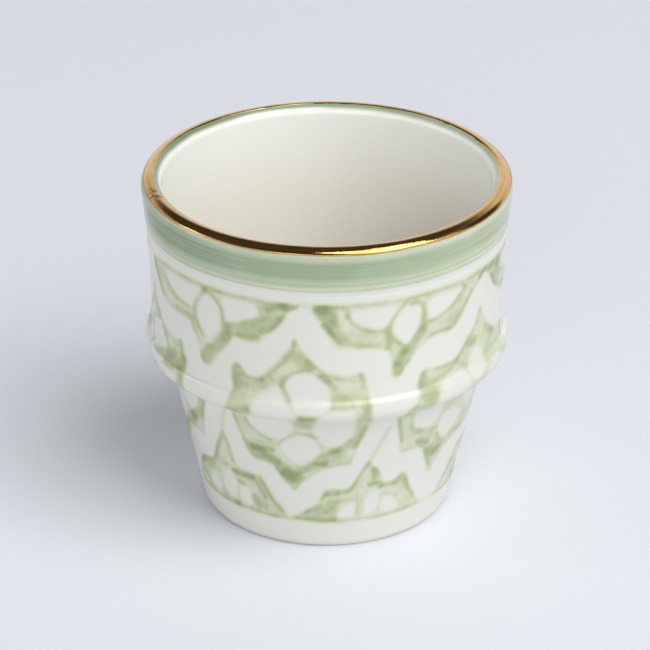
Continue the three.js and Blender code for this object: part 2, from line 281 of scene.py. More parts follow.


# The painted ornament: outlines drawn in degrees round the cup and millimetres of height
FRONT_STAR = {
    "axis": -10.2,
    "ground": [
        (-10.1, 49.8), (-8.6, 48), (-6, 45.6), (-4, 44.2), (-1.8, 43.2), (0.3, 42.3), (4, 42), (8.5, 41.8),
        (10.5, 42.5), (12, 41.5), (12.7, 39.5), (13.4, 37), (13.7, 34.5), (14.2, 32.3), (15.8, 30.4),
        (14.6, 28.2), (12.8, 26), (11, 23.5), (9.8, 21.5), (9.5, 20.2), (5, 20.2), (1.5, 19.9), (-2.5, 19.1),
        (-6, 17.7), (-9, 16.2), (-11.5, 14.8), (-13.2, 13.7), (-15, 14.8), (-17.3, 16), (-19.3, 17.5),
        (-20.6, 19.3), (-24, 19.6), (-29.8, 20), (-31.2, 21.8), (-33, 24.2), (-34.6, 27), (-36, 29.6),
        (-35, 31.4), (-33, 33), (-31.2, 34.8), (-30.7, 37), (-30.6, 39), (-31.8, 40.8), (-30.6, 42),
        (-28.6, 42.6), (-27, 41.6), (-26.5, 40.6), (-23, 40.4), (-20.4, 40.8), (-18.4, 42.1), (-15.6, 43.6),
        (-13.2, 45.2), (-12, 47),
    ],
    "petals": [
        [(-7, 42.2), (-4.6, 42.1), (-2.6, 41.2), (-0.8, 40.2), (0.6, 38.6), (1, 36.8), (0.2, 35.4),
         (-1.5, 34.4), (-4, 34.4), (-8, 34.3), (-10, 34.8), (-10.5, 36.2), (-11.6, 37.6), (-12.8, 38.8),
         (-12.6, 40), (-11.4, 41.1), (-9.4, 41.9)],
        [(-15.3, 39.3), (-17.8, 38.9), (-20, 37.9), (-21.6, 36.8), (-23, 35.5), (-24, 34.2), (-24.8, 32.5),
         (-27, 31), (-29.6, 29.8), (-28.8, 28.4), (-27.2, 27.2), (-25, 26.3), (-22, 25.9), (-19.5, 25.7),
         (-16.8, 26), (-14, 27.2), (-12.2, 28.4), (-13.4, 30.4), (-12.4, 32.3), (-10.6, 33.2), (-9.4, 34),
         (-11.4, 35), (-12.6, 36.6), (-14.2, 38)],
        [(1.6, 35.3), (4, 35.2), (7.6, 35.3), (8.3, 34), (9, 32), (9.8, 29.8), (9, 27.8), (7.6, 26.3),
         (5, 25.2), (2, 24.7), (-0.5, 25), (-2.2, 25.9), (-3.4, 27), (-4.4, 28.2), (-4.2, 30), (-3.2, 31.8),
         (-2.4, 33), (-1, 34)],
        [(-9, 27), (-6, 26.6), (-3.8, 25.7), (-2.7, 24.3), (-3.4, 22.8), (-5, 21.6), (-7.5, 20.6),
         (-10, 19.8), (-12, 20.9), (-14, 21.9), (-16.2, 22.8), (-17.3, 24), (-16.4, 25), (-14, 26),
         (-11.5, 26.8)],
    ],
    "strokes": [
        (1.3, 0.22, [(-29, 39.4), (-24, 38.2), (-18, 39.8)]),
        (1.1, 0.22, [(-12.5, 45.4), (-9.6, 45.6), (-6, 44)]),
        (1.2, 0.26, [(-30, 22.6), (-24, 21.6), (-18, 19.4), (-14, 17.4)]),
        (1.2, 0.2, [(-10, 19), (-4, 21), (3, 22.8), (9, 25.4)]),
        (1.6, 0.16, [(3.5, 37.4), (8, 37.8)]),
        (0.35, 0.4, [(-10.2, 48.8), (-10.4, 47.5)]),
        (0.6, 0.22, [(-11, 46.5), (-13.5, 44.6), (-16.5, 43), (-19, 41.4), (-20.6, 40.4)]),
        (0.7, 0.2, [(-9.6, 46.4), (-7.4, 45), (-4.8, 43.8)]),
        (0.4, 0.3, [(-5.5, 43.1), (-8.5, 42.8), (-11.6, 41.9), (-13.7, 40.6), (-14.3, 39.4)]),
        (0.6, 0.3, [(-13.4, 41), (-14.3, 39.4), (-13.2, 38), (-12.2, 36.8)]),
        (0.9, 0.4, [(-29.4, 41.4), (-28.4, 40.6)]),
        (0.7, 0.25, [(-29.6, 39.6), (-29.2, 37.6)]),
        (0.35, 0.35, [(-26.5, 40.3), (-23.5, 39.9), (-20.6, 40)]),
        (0.6, 0.15, [(-28, 38.4), (-24, 38.6), (-20, 38.9)]),
        (1.0, 0.3, [(-34, 31.2), (-30, 32.6), (-25.5, 33.6)]),
        (0.5, 0.25, [(-25.2, 34), (-24.6, 33)]),
        (0.45, 0.25, [(-30.2, 28.8), (-28, 27.3), (-25, 26.2), (-21, 25.4)]),
        (0.5, 0.25, [(-35, 28.6), (-33.6, 26), (-32, 23.6)]),
        (0.6, 0.4, [(-29, 22.7), (-25, 22.6), (-20.8, 22.9)]),
        (0.7, 0.45, [(-24, 21.4), (-21.5, 20.6), (-18.8, 20.1)]),
        (0.5, 0.2, [(-29, 20.6), (-25, 20.4)]),
        (1.3, 0.55, [(-15.6, 17.6), (-13.4, 16.6), (-11.4, 17.2)]),
        (0.6, 0.3, [(-19.4, 19), (-17.4, 17.6)]),
        (0.6, 0.3, [(-10, 18.6), (-7, 19.6), (-5, 20.6)]),
        (0.55, 0.5, [(-4.2, 20.6), (-0.6, 20.6)]),
        (0.7, 0.2, [(-3, 22), (0.5, 22.8), (5, 24.2), (8.6, 25.8)]),
        (0.5, 0.4, [(2, 23.5), (4.4, 23.8)]),
        (0.45, 0.35, [(10.2, 24.4), (12, 26.8), (13.6, 28.8)]),
        (0.6, 0.2, [(10.6, 27.2), (12.2, 29.6), (12, 32.4)]),
        (0.6, 0.3, [(13, 32.2), (15, 30.8)]),
        (0.7, 0.25, [(10.4, 33), (12.2, 34.4), (12, 36.4)]),
        (1.1, 0.18, [(3.4, 36.8), (6.8, 37)]),
        (0.4, 0.2, [(2, 35.8), (5, 35.5), (8, 36)]),
        (0.6, 0.4, [(-1.4, 41.8), (0, 41)]),
        (0.45, 0.28, [(0.6, 40.6), (2.6, 39.3)]),
        (0.3, 0.28, [(3, 41.3), (8.5, 40.6)]),
        (0.5, 0.25, [(10.6, 41.9), (11.2, 39.4)]),
        (0.6, 0.45, [(-8, 33.2), (-4.4, 33.3)]),
        (1.6, 0.35, [(-9, 30.6), (-7, 30.4)]),
        (0.35, 0.3, [(-10.8, 27.7), (-6.4, 27.5), (-3.8, 26.6)]),
        (0.3, 0.2, [(-12.4, 27.3), (-15.6, 26), (-17.8, 24.6)]),
        (0.3, 0.2, [(-3, 26), (-2.3, 24.6)]),
    ],
}
WIDE_STAR = {
    "axis": 57.5,
    "ground": [
        (57.3, 49), (55.2, 46.2), (53, 44.6), (50.5, 43.4), (48, 42), (46, 40.8), (43, 40.3), (38, 40.3),
        (34.6, 40.6), (32.8, 41), (31.2, 40), (30, 38.6), (29.5, 36.8), (29.2, 34.8), (26.5, 33.6),
        (24.4, 32), (25.8, 30), (26, 28.5), (27, 26), (28, 23.5), (28.6, 21.1), (31, 20.9), (35, 21.1),
        (38.5, 20.9), (40.2, 20), (41, 18.5), (42.6, 16.4), (44.6, 14.6), (46.5, 13.2), (47.6, 14.4),
        (49.5, 16.4), (52, 17.6), (55, 18.6), (60, 19.4), (66, 19.8), (74, 20.2), (77, 22.5), (80, 26),
        (83, 29.5), (81, 32), (79, 36), (78.5, 39.5), (77, 40.8), (72, 40.4), (68, 41.2), (65, 42.4),
        (62, 44.2), (59, 46.8),
    ],
    "petals": [
        [(52, 38.4), (53, 39.6), (55, 40.4), (57.5, 40.3), (59.3, 39.2), (60, 37.6), (59.4, 36),
         (57.6, 34.8), (54, 34.5), (51.6, 35.6), (51, 37)],
        [(37.6, 35), (38.6, 36.3), (41, 37), (45, 37.3), (48.5, 37.2), (50.4, 36), (50.6, 34), (49.6, 32),
         (47.5, 30.3), (45.6, 28.6), (45.2, 27), (44, 26), (41, 25.6), (37, 25.8), (34.2, 26.6), (33, 27.8),
         (33.6, 28.9), (35, 30.4), (36.4, 32.6)],
        [(46.6, 24.6), (47, 22.8), (48.4, 21.4), (50.5, 20.9), (53, 21.4), (55.5, 22.2), (58, 23.2),
         (59.4, 24.4), (58, 25.6), (54.5, 26.5), (50.5, 26.8), (47.6, 26)],
        [(61.8, 35), (66, 36), (71, 35.6), (74.5, 34), (75.5, 31.5), (76, 29), (74, 27), (70, 26),
         (65.5, 25.8), (62, 26.8), (60.4, 28.8), (60.6, 31.8)],
    ],
    "strokes": [
        (0.5, 0.15, [(56.8, 47.5), (54.6, 45), (51, 43), (48, 41.4), (45.5, 40.2)]),
        (1.0, 0.3, [(51.2, 42.4), (53.6, 42.2)]),
        (0.6, 0.2, [(60.4, 44), (63.6, 42), (67, 41)]),
        (0.7, 0.4, [(31.6, 39.6), (31, 37.8)]),
        (1.5, 0.3, [(32.4, 37.4), (33.6, 35.6)]),
        (0.5, 0.25, [(36, 37.8), (39.5, 37.9), (42, 38.6), (46, 39.6)]),
        (0.35, 0.2, [(36, 39.8), (41, 39.7), (46, 40)]),
        (0.5, 0.2, [(47, 38.6), (50.5, 37.8)]),
        (0.8, 0.15, [(29, 33.4), (33, 33.6), (36, 33.4)]),
        (0.8, 0.2, [(28.5, 31), (31.5, 29.4)]),
        (0.5, 0.3, [(26.6, 29.2), (27.6, 26.4), (28.8, 24)]),
        (0.5, 0.25, [(32, 28.4), (32, 26.9), (33.6, 25.5), (36.5, 24.9)]),
        (0.5, 0.2, [(37, 24.8), (41, 24.4), (45, 24.2)]),
        (0.6, 0.35, [(36.4, 22.4), (39, 22), (41, 21.6)]),
        (0.9, 0.4, [(43.6, 19.2), (46, 18), (48.8, 18.6)]),
        (0.5, 0.25, [(41.2, 20), (43, 17.6), (45, 15.8)]),
        (0.5, 0.25, [(46, 22.6), (48.6, 20.6), (51.6, 19.6)]),
        (0.5, 0.25, [(54.5, 20.8), (58, 20.8), (62, 20.6)]),
        (1.4, 0.3, [(55, 31), (57, 30.6)]),
        (0.5, 0.2, [(66, 37.6), (70, 37.8), (75, 38)]),
        (0.7, 0.3, [(76.4, 40), (77, 37.6)]),
        (0.6, 0.3, [(72, 22.6), (76, 23.4), (79, 26.6)]),
    ],
}
LEFT_HANGING_FLOWER = {
    "axis": -40.5,
    "ground": [
        (-71, 56.6), (-71, 54), (-68, 51.5), (-66, 49.8), (-63.5, 48.6), (-57, 48), (-50.5, 47.8),
        (-48, 47.6), (-47, 46.5), (-45.5, 45.2), (-44, 43.5), (-43.8, 42), (-43.4, 40.8), (-42, 39.9),
        (-39.5, 40.7), (-37.2, 42.4), (-35, 44), (-33, 45.2), (-31.5, 46.8), (-30.6, 47.9), (-28, 47.5),
        (-25, 47.5), (-22.5, 47.6), (-21, 48.6), (-19, 49.5), (-16.8, 50.5), (-15, 51.9), (-13.4, 53.4),
        (-11.5, 54.8), (-9, 55.8), (-9, 56.6),
    ],
    "petals": [
        [(-40, 54.6), (-41.8, 53.8), (-43.5, 52.2), (-44.4, 50.5), (-44.2, 48.8), (-43, 47.3), (-41.5, 46.3),
         (-40.2, 45.7), (-38.5, 46.5), (-36.8, 47.7), (-35.5, 49.3), (-35.1, 51), (-35.6, 52.6), (-37, 53.7),
         (-38.5, 54.4)],
        [(-42.7, 55.5), (-44.6, 54), (-46.4, 52.3), (-47.3, 51.2), (-50, 51.3), (-54, 51.7), (-57.5, 52.6),
         (-60, 54.3), (-60.5, 55.5)],
        [(-33.9, 55.5), (-33.2, 53.5), (-33, 51.2), (-31.5, 50.9), (-29, 51.2), (-26.5, 52), (-24, 52.6),
         (-22.4, 53.4), (-21.7, 54.4), (-22.2, 55.5)],
    ],
    "strokes": [
        (1.0, 0.24, [(-32, 48.6), (-27, 49.4), (-21, 51.2), (-16, 53.6)]),
        (0.55, 0.3, [(-40.8, 55.6), (-43.2, 54), (-45.4, 52), (-46, 50.2), (-45.4, 48.6), (-44, 47.2),
                     (-42.3, 46)]),
        (0.45, 0.28, [(-38.6, 55.2), (-36, 54.2), (-34.4, 52.6), (-34, 51), (-34.2, 49.6)]),
        (0.5, 0.4, [(-41.2, 55.6), (-40.4, 55.7)]),
        (0.9, 0.35, [(-42.2, 41.4), (-40, 43.3), (-37.5, 44.5), (-35, 46), (-33, 47.8), (-32.5, 49.4)]),
        (0.6, 0.35, [(-40.6, 43.9), (-39.2, 44.1)]),
        (0.9, 0.35, [(-33.8, 46.8), (-32.4, 47.6)]),
        (0.55, 0.3, [(-32, 49.9), (-29, 50.4), (-25.5, 51.4), (-22, 52.1), (-19.5, 53), (-18, 54.6)]),
        (0.45, 0.4, [(-28.5, 48.4), (-25.5, 48.4), (-22.5, 49)]),
        (0.5, 0.4, [(-20.5, 50), (-18, 50.6), (-15.6, 52), (-13.6, 53.7)]),
        (0.8, 0.55, [(-18.4, 55.2), (-15.5, 55.6), (-13.2, 55.6)]),
        (0.35, 0.3, [(-12.5, 55.2), (-9.5, 56)]),
        (0.35, 0.3, [(-22, 55), (-20.9, 55.2), (-20.6, 54)]),
        (0.5, 0.35, [(-47.5, 48.6), (-50, 48.8), (-55, 49)]),
        (0.5, 0.25, [(-48.5, 50.5), (-53, 50.6), (-58, 51.6), (-62, 53.5)]),
        (0.7, 0.3, [(-64, 50), (-67.5, 52.5), (-70, 54.8)]),
        (0.9, 0.5, [(-52, 38.6), (-54, 36.8)]),
        (0.9, 0.5, [(-58, 38.5), (-64, 37), (-71, 35.8)]),
    ],
}
RIGHT_HANGING_FLOWER = {
    "axis": 25.5,
    "ground": [
        (-3.5, 56.6), (-4.4, 55.5), (-3, 54), (-1.2, 52.4), (0, 51.2), (1.8, 49.8), (3, 48.4), (5, 47.7),
        (10, 47.3), (14, 47.1), (17, 46.8), (19, 46.2), (20.2, 45.6), (20.6, 44), (20.9, 42.4), (21.4, 41),
        (22.6, 40.4), (24, 41), (24.8, 42), (26, 43), (27.6, 44.3), (29.6, 45.4), (32, 46.3), (34.5, 47),
        (38, 47.2), (42, 47), (45, 47.9), (47.6, 49.4), (49.6, 51), (52, 52.8), (55, 54.3), (58, 55.4),
        (58, 56.6),
    ],
    "petals": [
        [(25.3, 54.6), (23.5, 53.8), (22, 52.8), (21, 51.5), (21, 50), (22, 49), (23.5, 48), (25, 47.2),
         (26.4, 47.2), (27.6, 48.3), (28.8, 49.8), (29.8, 51.4), (30.3, 53), (30, 54.2), (28.5, 54.5),
         (27, 54.3)],
        [(7.2, 55.1), (7.4, 54), (8.8, 52.9), (11, 52), (14, 51.4), (16.5, 51.1), (18.2, 51.5), (19.8, 52.8),
         (21.2, 54), (22.5, 55.1)],
        [(32.4, 55.1), (32.8, 53.5), (33, 51.6), (34.5, 51), (37, 51.2), (40, 51.9), (43, 53), (45.3, 54.2),
         (46.2, 55.1)],
    ],
    "strokes": [
        (1.3, 0.34, [(-0.6, 55), (0.8, 53), (2.6, 51), (4.4, 49)]),
        (1.0, 0.4, [(-2.5, 55.5), (0, 55), (1.4, 53.8)]),
        (0.5, 0.3, [(2, 55.8), (2.6, 54), (1.8, 52.5)]),
        (0.55, 0.45, [(-0.8, 52.4), (1, 51.1), (2.8, 50), (4, 49.3)]),
        (0.4, 0.35, [(5.6, 55.6), (6.6, 55.3), (6.4, 54)]),
        (0.45, 0.28, [(6.3, 54.4), (7.6, 52.9), (9.5, 51.9), (12, 51), (15, 50.5), (18.5, 50.2)]),
        (0.4, 0.22, [(7.5, 48.3), (12, 47.9), (16.5, 47.8)]),
        (0.6, 0.3, [(18.7, 50.6), (19.4, 48.8), (19.5, 47)]),
        (0.45, 0.32, [(24.8, 55.6), (23, 54.5), (21, 53), (19.8, 51.5), (19.6, 50), (20.8, 48.6),
                      (22.8, 47.6), (24.5, 46.6)]),
        (0.4, 0.26, [(26.8, 55.2), (29, 55.2), (30.8, 54.4), (31.5, 52.8), (31.3, 51), (30.6, 49.8)]),
        (0.9, 0.5, [(31.2, 49), (29.5, 47.9), (27.8, 46.8), (25.8, 45.7)]),
        (0.9, 0.5, [(24.6, 45.3), (22.9, 43.4)]),
        (1.0, 0.3, [(22.7, 42.2), (22.4, 41.6)]),
        (0.5, 0.25, [(27.5, 44.6), (26, 43)]),
        (0.5, 0.22, [(32, 50.2), (36, 50.4), (40, 51.2), (43.5, 52.3), (46, 53.6), (47.6, 55)]),
        (0.4, 0.35, [(46.6, 55.6), (48.2, 54.8)]),
        (0.35, 0.2, [(34.5, 47.6), (38.5, 47.7), (42.5, 47.5)]),
        (0.45, 0.15, [(44, 48.6), (48, 51), (51.5, 53.2)]),
        (0.45, 0.3, [(55.5, 55), (58, 55.7)]),
    ],
}
LEFT_STANDING_FLOWER = {
    "axis": -43,
    "ground": [
        (-16.5, 6.2), (-16.5, 7), (-18.5, 7.8), (-20.5, 9), (-22.5, 10.2), (-24, 11.5), (-25.5, 13),
        (-26.5, 14.5), (-27, 15.8), (-32, 15.9), (-36, 16), (-38.6, 16.5), (-39.5, 18.5), (-40, 20.5),
        (-41, 22.6), (-42.3, 24.4), (-44.4, 23.2), (-46.5, 21), (-48.5, 19), (-50.5, 17), (-52.5, 15.7),
        (-55.5, 15), (-59, 14.6), (-62, 13.8), (-64.5, 12.5), (-67, 10.5), (-70, 8), (-71, 6.2),
    ],
    "petals": [
        [(-44.3, 14.2), (-46, 13.2), (-47.8, 12), (-48, 10), (-46.8, 8.6), (-44.8, 7.9), (-42.6, 8),
         (-41.2, 9.2), (-40.6, 11), (-41, 13), (-42.4, 14.2)],
        [(-39.2, 8), (-39.4, 9.6), (-38.6, 10.9), (-36.8, 11.6), (-34.6, 11.2), (-33.4, 9.8), (-33.4, 8.2),
         (-35, 7.6)],
        [(-51.5, 8.2), (-51.2, 9.6), (-52.4, 11), (-54.8, 11.4), (-57.4, 10.6), (-58.8, 9.2), (-57, 8.2)],
    ],
    "strokes": [
        (0.55, 0.22, [(-42.6, 23.8), (-42, 25.6), (-40.8, 27.6), (-39.6, 29.6)]),
        (0.45, 0.3, [(-43, 23), (-46, 20.4), (-49, 17.4), (-51.5, 15.4)]),
        (0.7, 0.25, [(-42, 22), (-41, 19.8), (-40.2, 17.6)]),
        (0.5, 0.35, [(-45.5, 15.4), (-43.5, 15.8)]),
        (0.6, 0.55, [(-40.6, 14.9), (-38, 14.9), (-35, 14.7), (-31, 14.8)]),
        (0.4, 0.35, [(-39, 12.6), (-36, 12.3)]),
        (0.55, 0.3, [(-29.5, 14.2), (-28, 12.6), (-26.5, 10.8)]),
        (1.0, 0.45, [(-31.5, 9.8), (-30.6, 8.6)]),
        (0.8, 0.25, [(-29.5, 8.4), (-27, 8.2)]),
        (0.7, 0.35, [(-19, 8.2), (-22, 10.2), (-25, 12.8), (-27.2, 15.2)]),
        (0.6, 0.35, [(-34, 7), (-30, 6.9)]),
        (0.5, 0.4, [(-43.6, 6.9), (-40.8, 7)]),
        (0.7, 0.45, [(-65, 12.2), (-61, 13.4), (-57, 14), (-53, 14.4)]),
        (0.6, 0.25, [(-58, 12.4), (-54, 13.2), (-50, 13)]),
        (0.8, 0.2, [(-64, 10), (-60, 8.4)]),
    ],
}
RIGHT_STANDING_FLOWER = {
    "axis": 17.5,
    "ground": [
        (-15, 6.2), (-13, 7.3), (-10.5, 8.3), (-8, 9.4), (-5, 10.4), (-3, 11.8), (-2, 13), (-0.5, 14.2),
        (2, 14.4), (5, 14.2), (8, 14.3), (10, 15), (11.5, 16.6), (13, 18.2), (14.5, 19.5), (16, 20.6),
        (17, 19.8), (18.2, 18.9), (19.8, 18.6), (21, 17.2), (22, 15.8), (23.5, 14.9), (27, 14.6),
        (29.5, 15.2), (31, 16), (33, 15.8), (34, 14.3), (35.5, 12.5), (37.5, 10.8), (40, 9.2), (42, 7.8),
        (44.5, 6.2),
    ],
    "petals": [
        [(4, 7.3), (5.2, 8.6), (6.8, 9.8), (9, 10.5), (10.8, 10.5), (11.4, 9), (11, 7.4)],
        [(16.2, 7.9), (15.8, 9.3), (15.8, 11), (16.6, 12.3), (18.3, 12.9), (20.2, 12.7), (21.3, 11.6),
         (21.5, 10), (21, 8.4), (19, 7.8)],
        [(24, 7.5), (23.2, 9), (23.6, 10.4), (25, 11), (27.3, 10.6), (29.3, 9.7), (30.8, 8.5), (31.6, 7.4)],
    ],
    "strokes": [
        (1.1, 0.2, [(-9, 7.6), (-3, 8.6), (2, 10.6)]),
        (0.55, 0.24, [(16, 20), (18, 22.2), (20.3, 24.6), (22, 26.8), (24, 28.6), (26, 30)]),
        (0.6, 0.35, [(-14.5, 6.9), (-12.5, 7.1)]),
        (0.6, 0.4, [(-8, 7), (-3, 6.9), (1, 6.9), (3, 7)]),
        (0.45, 0.35, [(-8.5, 8.6), (-5, 9.4), (-2.5, 10.2)]),
        (0.8, 0.15, [(-3, 8.6), (1, 8.4), (3, 9.4)]),
        (0.5, 0.25, [(-1.8, 12), (0, 13.3)]),
        (0.55, 0.4, [(-0.4, 13.3), (1.5, 13.2), (4, 13.4)]),
        (0.5, 0.25, [(4.5, 13.3), (8, 13.6), (10.2, 14.4), (11.6, 15.8), (13.4, 17.8), (15, 19.4)]),
        (0.4, 0.15, [(3.4, 11), (7.5, 11.4), (10, 11.6)]),
        (0.45, 0.12, [(12.8, 7.4), (12.9, 10), (12.4, 12.4)]),
        (0.55, 0.35, [(18.5, 18.2), (19, 16.8), (19.2, 15.2)]),
        (0.65, 0.55, [(17.6, 14.8), (20, 14.8), (22.4, 14)]),
        (0.5, 0.3, [(22.5, 14), (25.5, 13.8), (29, 14)]),
        (0.7, 0.25, [(30.5, 15.2), (32.4, 14.8)]),
        (0.45, 0.22, [(33, 14), (35, 12), (37, 10.6), (39.5, 9.2)]),
        (0.4, 0.15, [(24, 12.2), (27.5, 11.6), (30.5, 10.2), (32.5, 8.6)]),
    ],
}
# Motif, angle of its axis, stretch round the cup, and whether it is turned over
PLACED_MOTIFS = [
    (FRONT_STAR, -10.2, 1, False),
    (WIDE_STAR, 57.5, 1, False),
    (WIDE_STAR, 131, 1, True),
    (FRONT_STAR, 206.5, 1.12, True),
    (FRONT_STAR, -74, 0.97, False),
    (LEFT_HANGING_FLOWER, -40.5, 1, False),
    (RIGHT_HANGING_FLOWER, 25.5, 1, False),
    (LEFT_HANGING_FLOWER, 94, 1.14, True),
    (RIGHT_HANGING_FLOWER, 168.5, 1.1, True),
    (LEFT_HANGING_FLOWER, 246, 1.12, False),
    (LEFT_STANDING_FLOWER, -43, 1, False),
    (RIGHT_STANDING_FLOWER, 17.5, 1, False),
    (LEFT_STANDING_FLOWER, 84, 1.15, True),
    (RIGHT_STANDING_FLOWER, 168, 1.15, True),
    (LEFT_STANDING_FLOWER, 246, 1.15, False),
]
# Single dabs of the brush: half width, strength and path
PAINTED_DABS = [(0.9, 0.4, [(-60, 23.4), (-63, 21.6)])]
# Height, half width and strength of the two painted lines
PAINTED_LINES = [(56.35, 0.6, 0.17), (6.5, 0.5, 0.14)]
# Radius at which the ornament is drawn, and the width of one degree there, in millimetres
DRAWING_RADIUS = 31
DEGREE_WIDTH = math.radians(DRAWING_RADIUS)
# How far painted shapes spread past their drawn outlines
PETAL_SWELL = 0.15
GROUND_SWELL = 0.1
# Soft side of a stroke: a fixed width, and a share of the stroke's half width
STROKE_FEATHER = 0.3
STROKE_SOFTNESS = 0.4
# Depth in a ground where no ground is near
FAR_FROM_PAINT = -3.0
# How far a motif's strokes may reach past its ground, and how far above it
REACH_ASIDE = 4
REACH_ABOVE = 8
# Share of a side that is cut off at each of its ends to round an outline
CORNER_CUT = 0.25


def rounded(points, closed):
    """An outline with its corners cut twice, as a full brush leaves them."""
    path = np.array(points, float)
    for _ in range(2):
        start, end = (path, np.roll(path, -1, axis=0)) if closed else (path[:-1], path[1:])
        trim = CORNER_CUT * (end - start)
        cut = np.stack([start + trim, end - trim], axis=1).reshape(-1, 2)
        path = cut if closed else np.concatenate([path[:1], cut, path[-1:]])
    return np.concatenate([path, path[:1]]) if closed else path


def distance_to(path, across, up):
    """Distance from each point to a path."""
    nearest = np.full(across.shape, np.inf)
    for (x, y), (next_x, next_y) in zip(path[:-1], path[1:]):
        step_x, step_y = next_x - x, next_y - y
        span = max(step_x ** 2 + step_y ** 2, 1e-12)
        share = np.clip(((across - x) * step_x + (up - y) * step_y) / span, 0, 1)
        nearest = np.minimum(nearest, np.hypot(across - x - share * step_x, up - y - share * step_y))
    return nearest


def depth_in(path, across, up):
    """Distance to a closed path, positive inside it."""
    inside = np.zeros(across.shape, bool)
    for (x, y), (next_x, next_y) in zip(path[:-1], path[1:]):
        if y != next_y:
            crosses = (y > up) != (next_y > up)
            inside ^= crosses & (across < x + (up - y) * (next_x - x) / (next_y - y))
    distance = distance_to(path, across, up)
    return np.where(inside, distance, -distance)


def placed(points, motif, stretch, turned_over):
    """A motif's points in millimetres from its axis."""
    spots = np.array(points, float)
    side = -1 if turned_over else 1
    return np.column_stack([(spots[:, 0] - motif["axis"]) * side * stretch * DEGREE_WIDTH, spots[:, 1]])


def brushed(distance, half_width, strength):
    """Paint that a stroke leaves at a distance from its middle, with soft sides."""
    feather = STROKE_FEATHER + STROKE_SOFTNESS * half_width
    inside = np.clip((half_width + feather - distance) / (2 * feather), 0, 1)
    return strength * inside ** 2 * (3 - 2 * inside)


def paint_motif(layers, degrees, height, motif, axis, stretch, turned_over):
    """Adds one motif's ground, petals and strokes to the layers of paint."""
    across = ((degrees - axis + 180) % 360 - 180) * DEGREE_WIDTH
    outline = rounded(placed(motif["ground"], motif, stretch, turned_over), True)
    low = outline.min(axis=0) - REACH_ASIDE
    high = outline.max(axis=0) + (REACH_ASIDE, REACH_ABOVE)
    near = (across > low[0]) & (across < high[0]) & (height > low[1]) & (height < high[1])
    x, y = across[near], height[near]
    depth = depth_in(outline, x, y) + GROUND_SWELL
    for petal in motif["petals"]:
        edge = rounded(placed(petal, motif, stretch, turned_over), True)
        gap = -depth_in(edge, x, y) - PETAL_SWELL
        depth = np.minimum(depth, gap)
        layers["petal_gap"][near] = np.minimum(layers["petal_gap"][near], gap)
    layers["ground"][near] = np.maximum(layers["ground"][near], depth)
    for half_width, strength, points in motif["strokes"]:
        path = rounded(placed(points, motif, stretch, turned_over), False)
        layers["bare"][near] *= 1 - brushed(distance_to(path, x, y), half_width, strength)


def paint_layers(degrees, height):
    """Depth in a washed ground, distance to the nearest petal, and the paint that the strokes leave."""
    layers = {
        "ground": np.full(degrees.shape, FAR_FROM_PAINT),
        "petal_gap": np.full(degrees.shape, -FAR_FROM_PAINT),
        "bare": np.ones(degrees.shape),
    }
    for motif in PLACED_MOTIFS:
        paint_motif(layers, degrees, height, *motif)
    bare = layers.pop("bare")
    for half_width, strength, points in PAINTED_DABS:
        path = rounded(np.array(points) * (DEGREE_WIDTH, 1), False)
        bare *= 1 - brushed(distance_to(path, degrees * DEGREE_WIDTH, height), half_width, strength)
    for middle, half_width, strength in PAINTED_LINES:
        bare *= 1 - brushed(np.abs(height - middle), half_width, strength)
    return {**layers, "brush": 1 - bare}


# Outlines of the turned form, as radius and height in metres
def bend(start, pull, end, steps):
    """A smooth bend from start to end that leans towards pull, without its first point."""
    share = np.linspace(0, 1, steps + 1)[1:, None]
    start, pull, end = np.array(start), np.array(pull), np.array(end)
    return (1 - share) ** 2 * start + 2 * share * (1 - share) * pull + share ** 2 * end


def straight(start, end, steps):
    """A straight run from start to end, without its first point."""
    share = np.linspace(0, 1, steps + 1)[1:, None]
    return np.array(start) + share * (np.array(end) - np.array(start))


def round_arc(centre, radius, first, last, steps):
    """An arc from one angle to another, in degrees; the radius may change along it."""
    angle = np.radians(np.linspace(first, last, steps + 1))
    return np.column_stack([centre[0] + radius * np.cos(angle), centre[1] + radius * np.sin(angle)])


def crossing(sizes, height):
    """Radius of the tapered part at a height."""
    return sizes.foot_radius + (sizes.ledge_radius - sizes.foot_radius) * height / sizes.ledge_height


def lip_centre(sizes):
    """Centre of the round lip."""
    half = sizes.lip_thickness / 2
    return np.array([sizes.rim_radius - half, sizes.cup_height - half])


def lip_arch(sizes, steps):
    """The round lip from its outer side over its top to its inner side, without the end points."""
    return round_arc(lip_centre(sizes), sizes.lip_thickness / 2, 0, 180, steps)[1:-1]


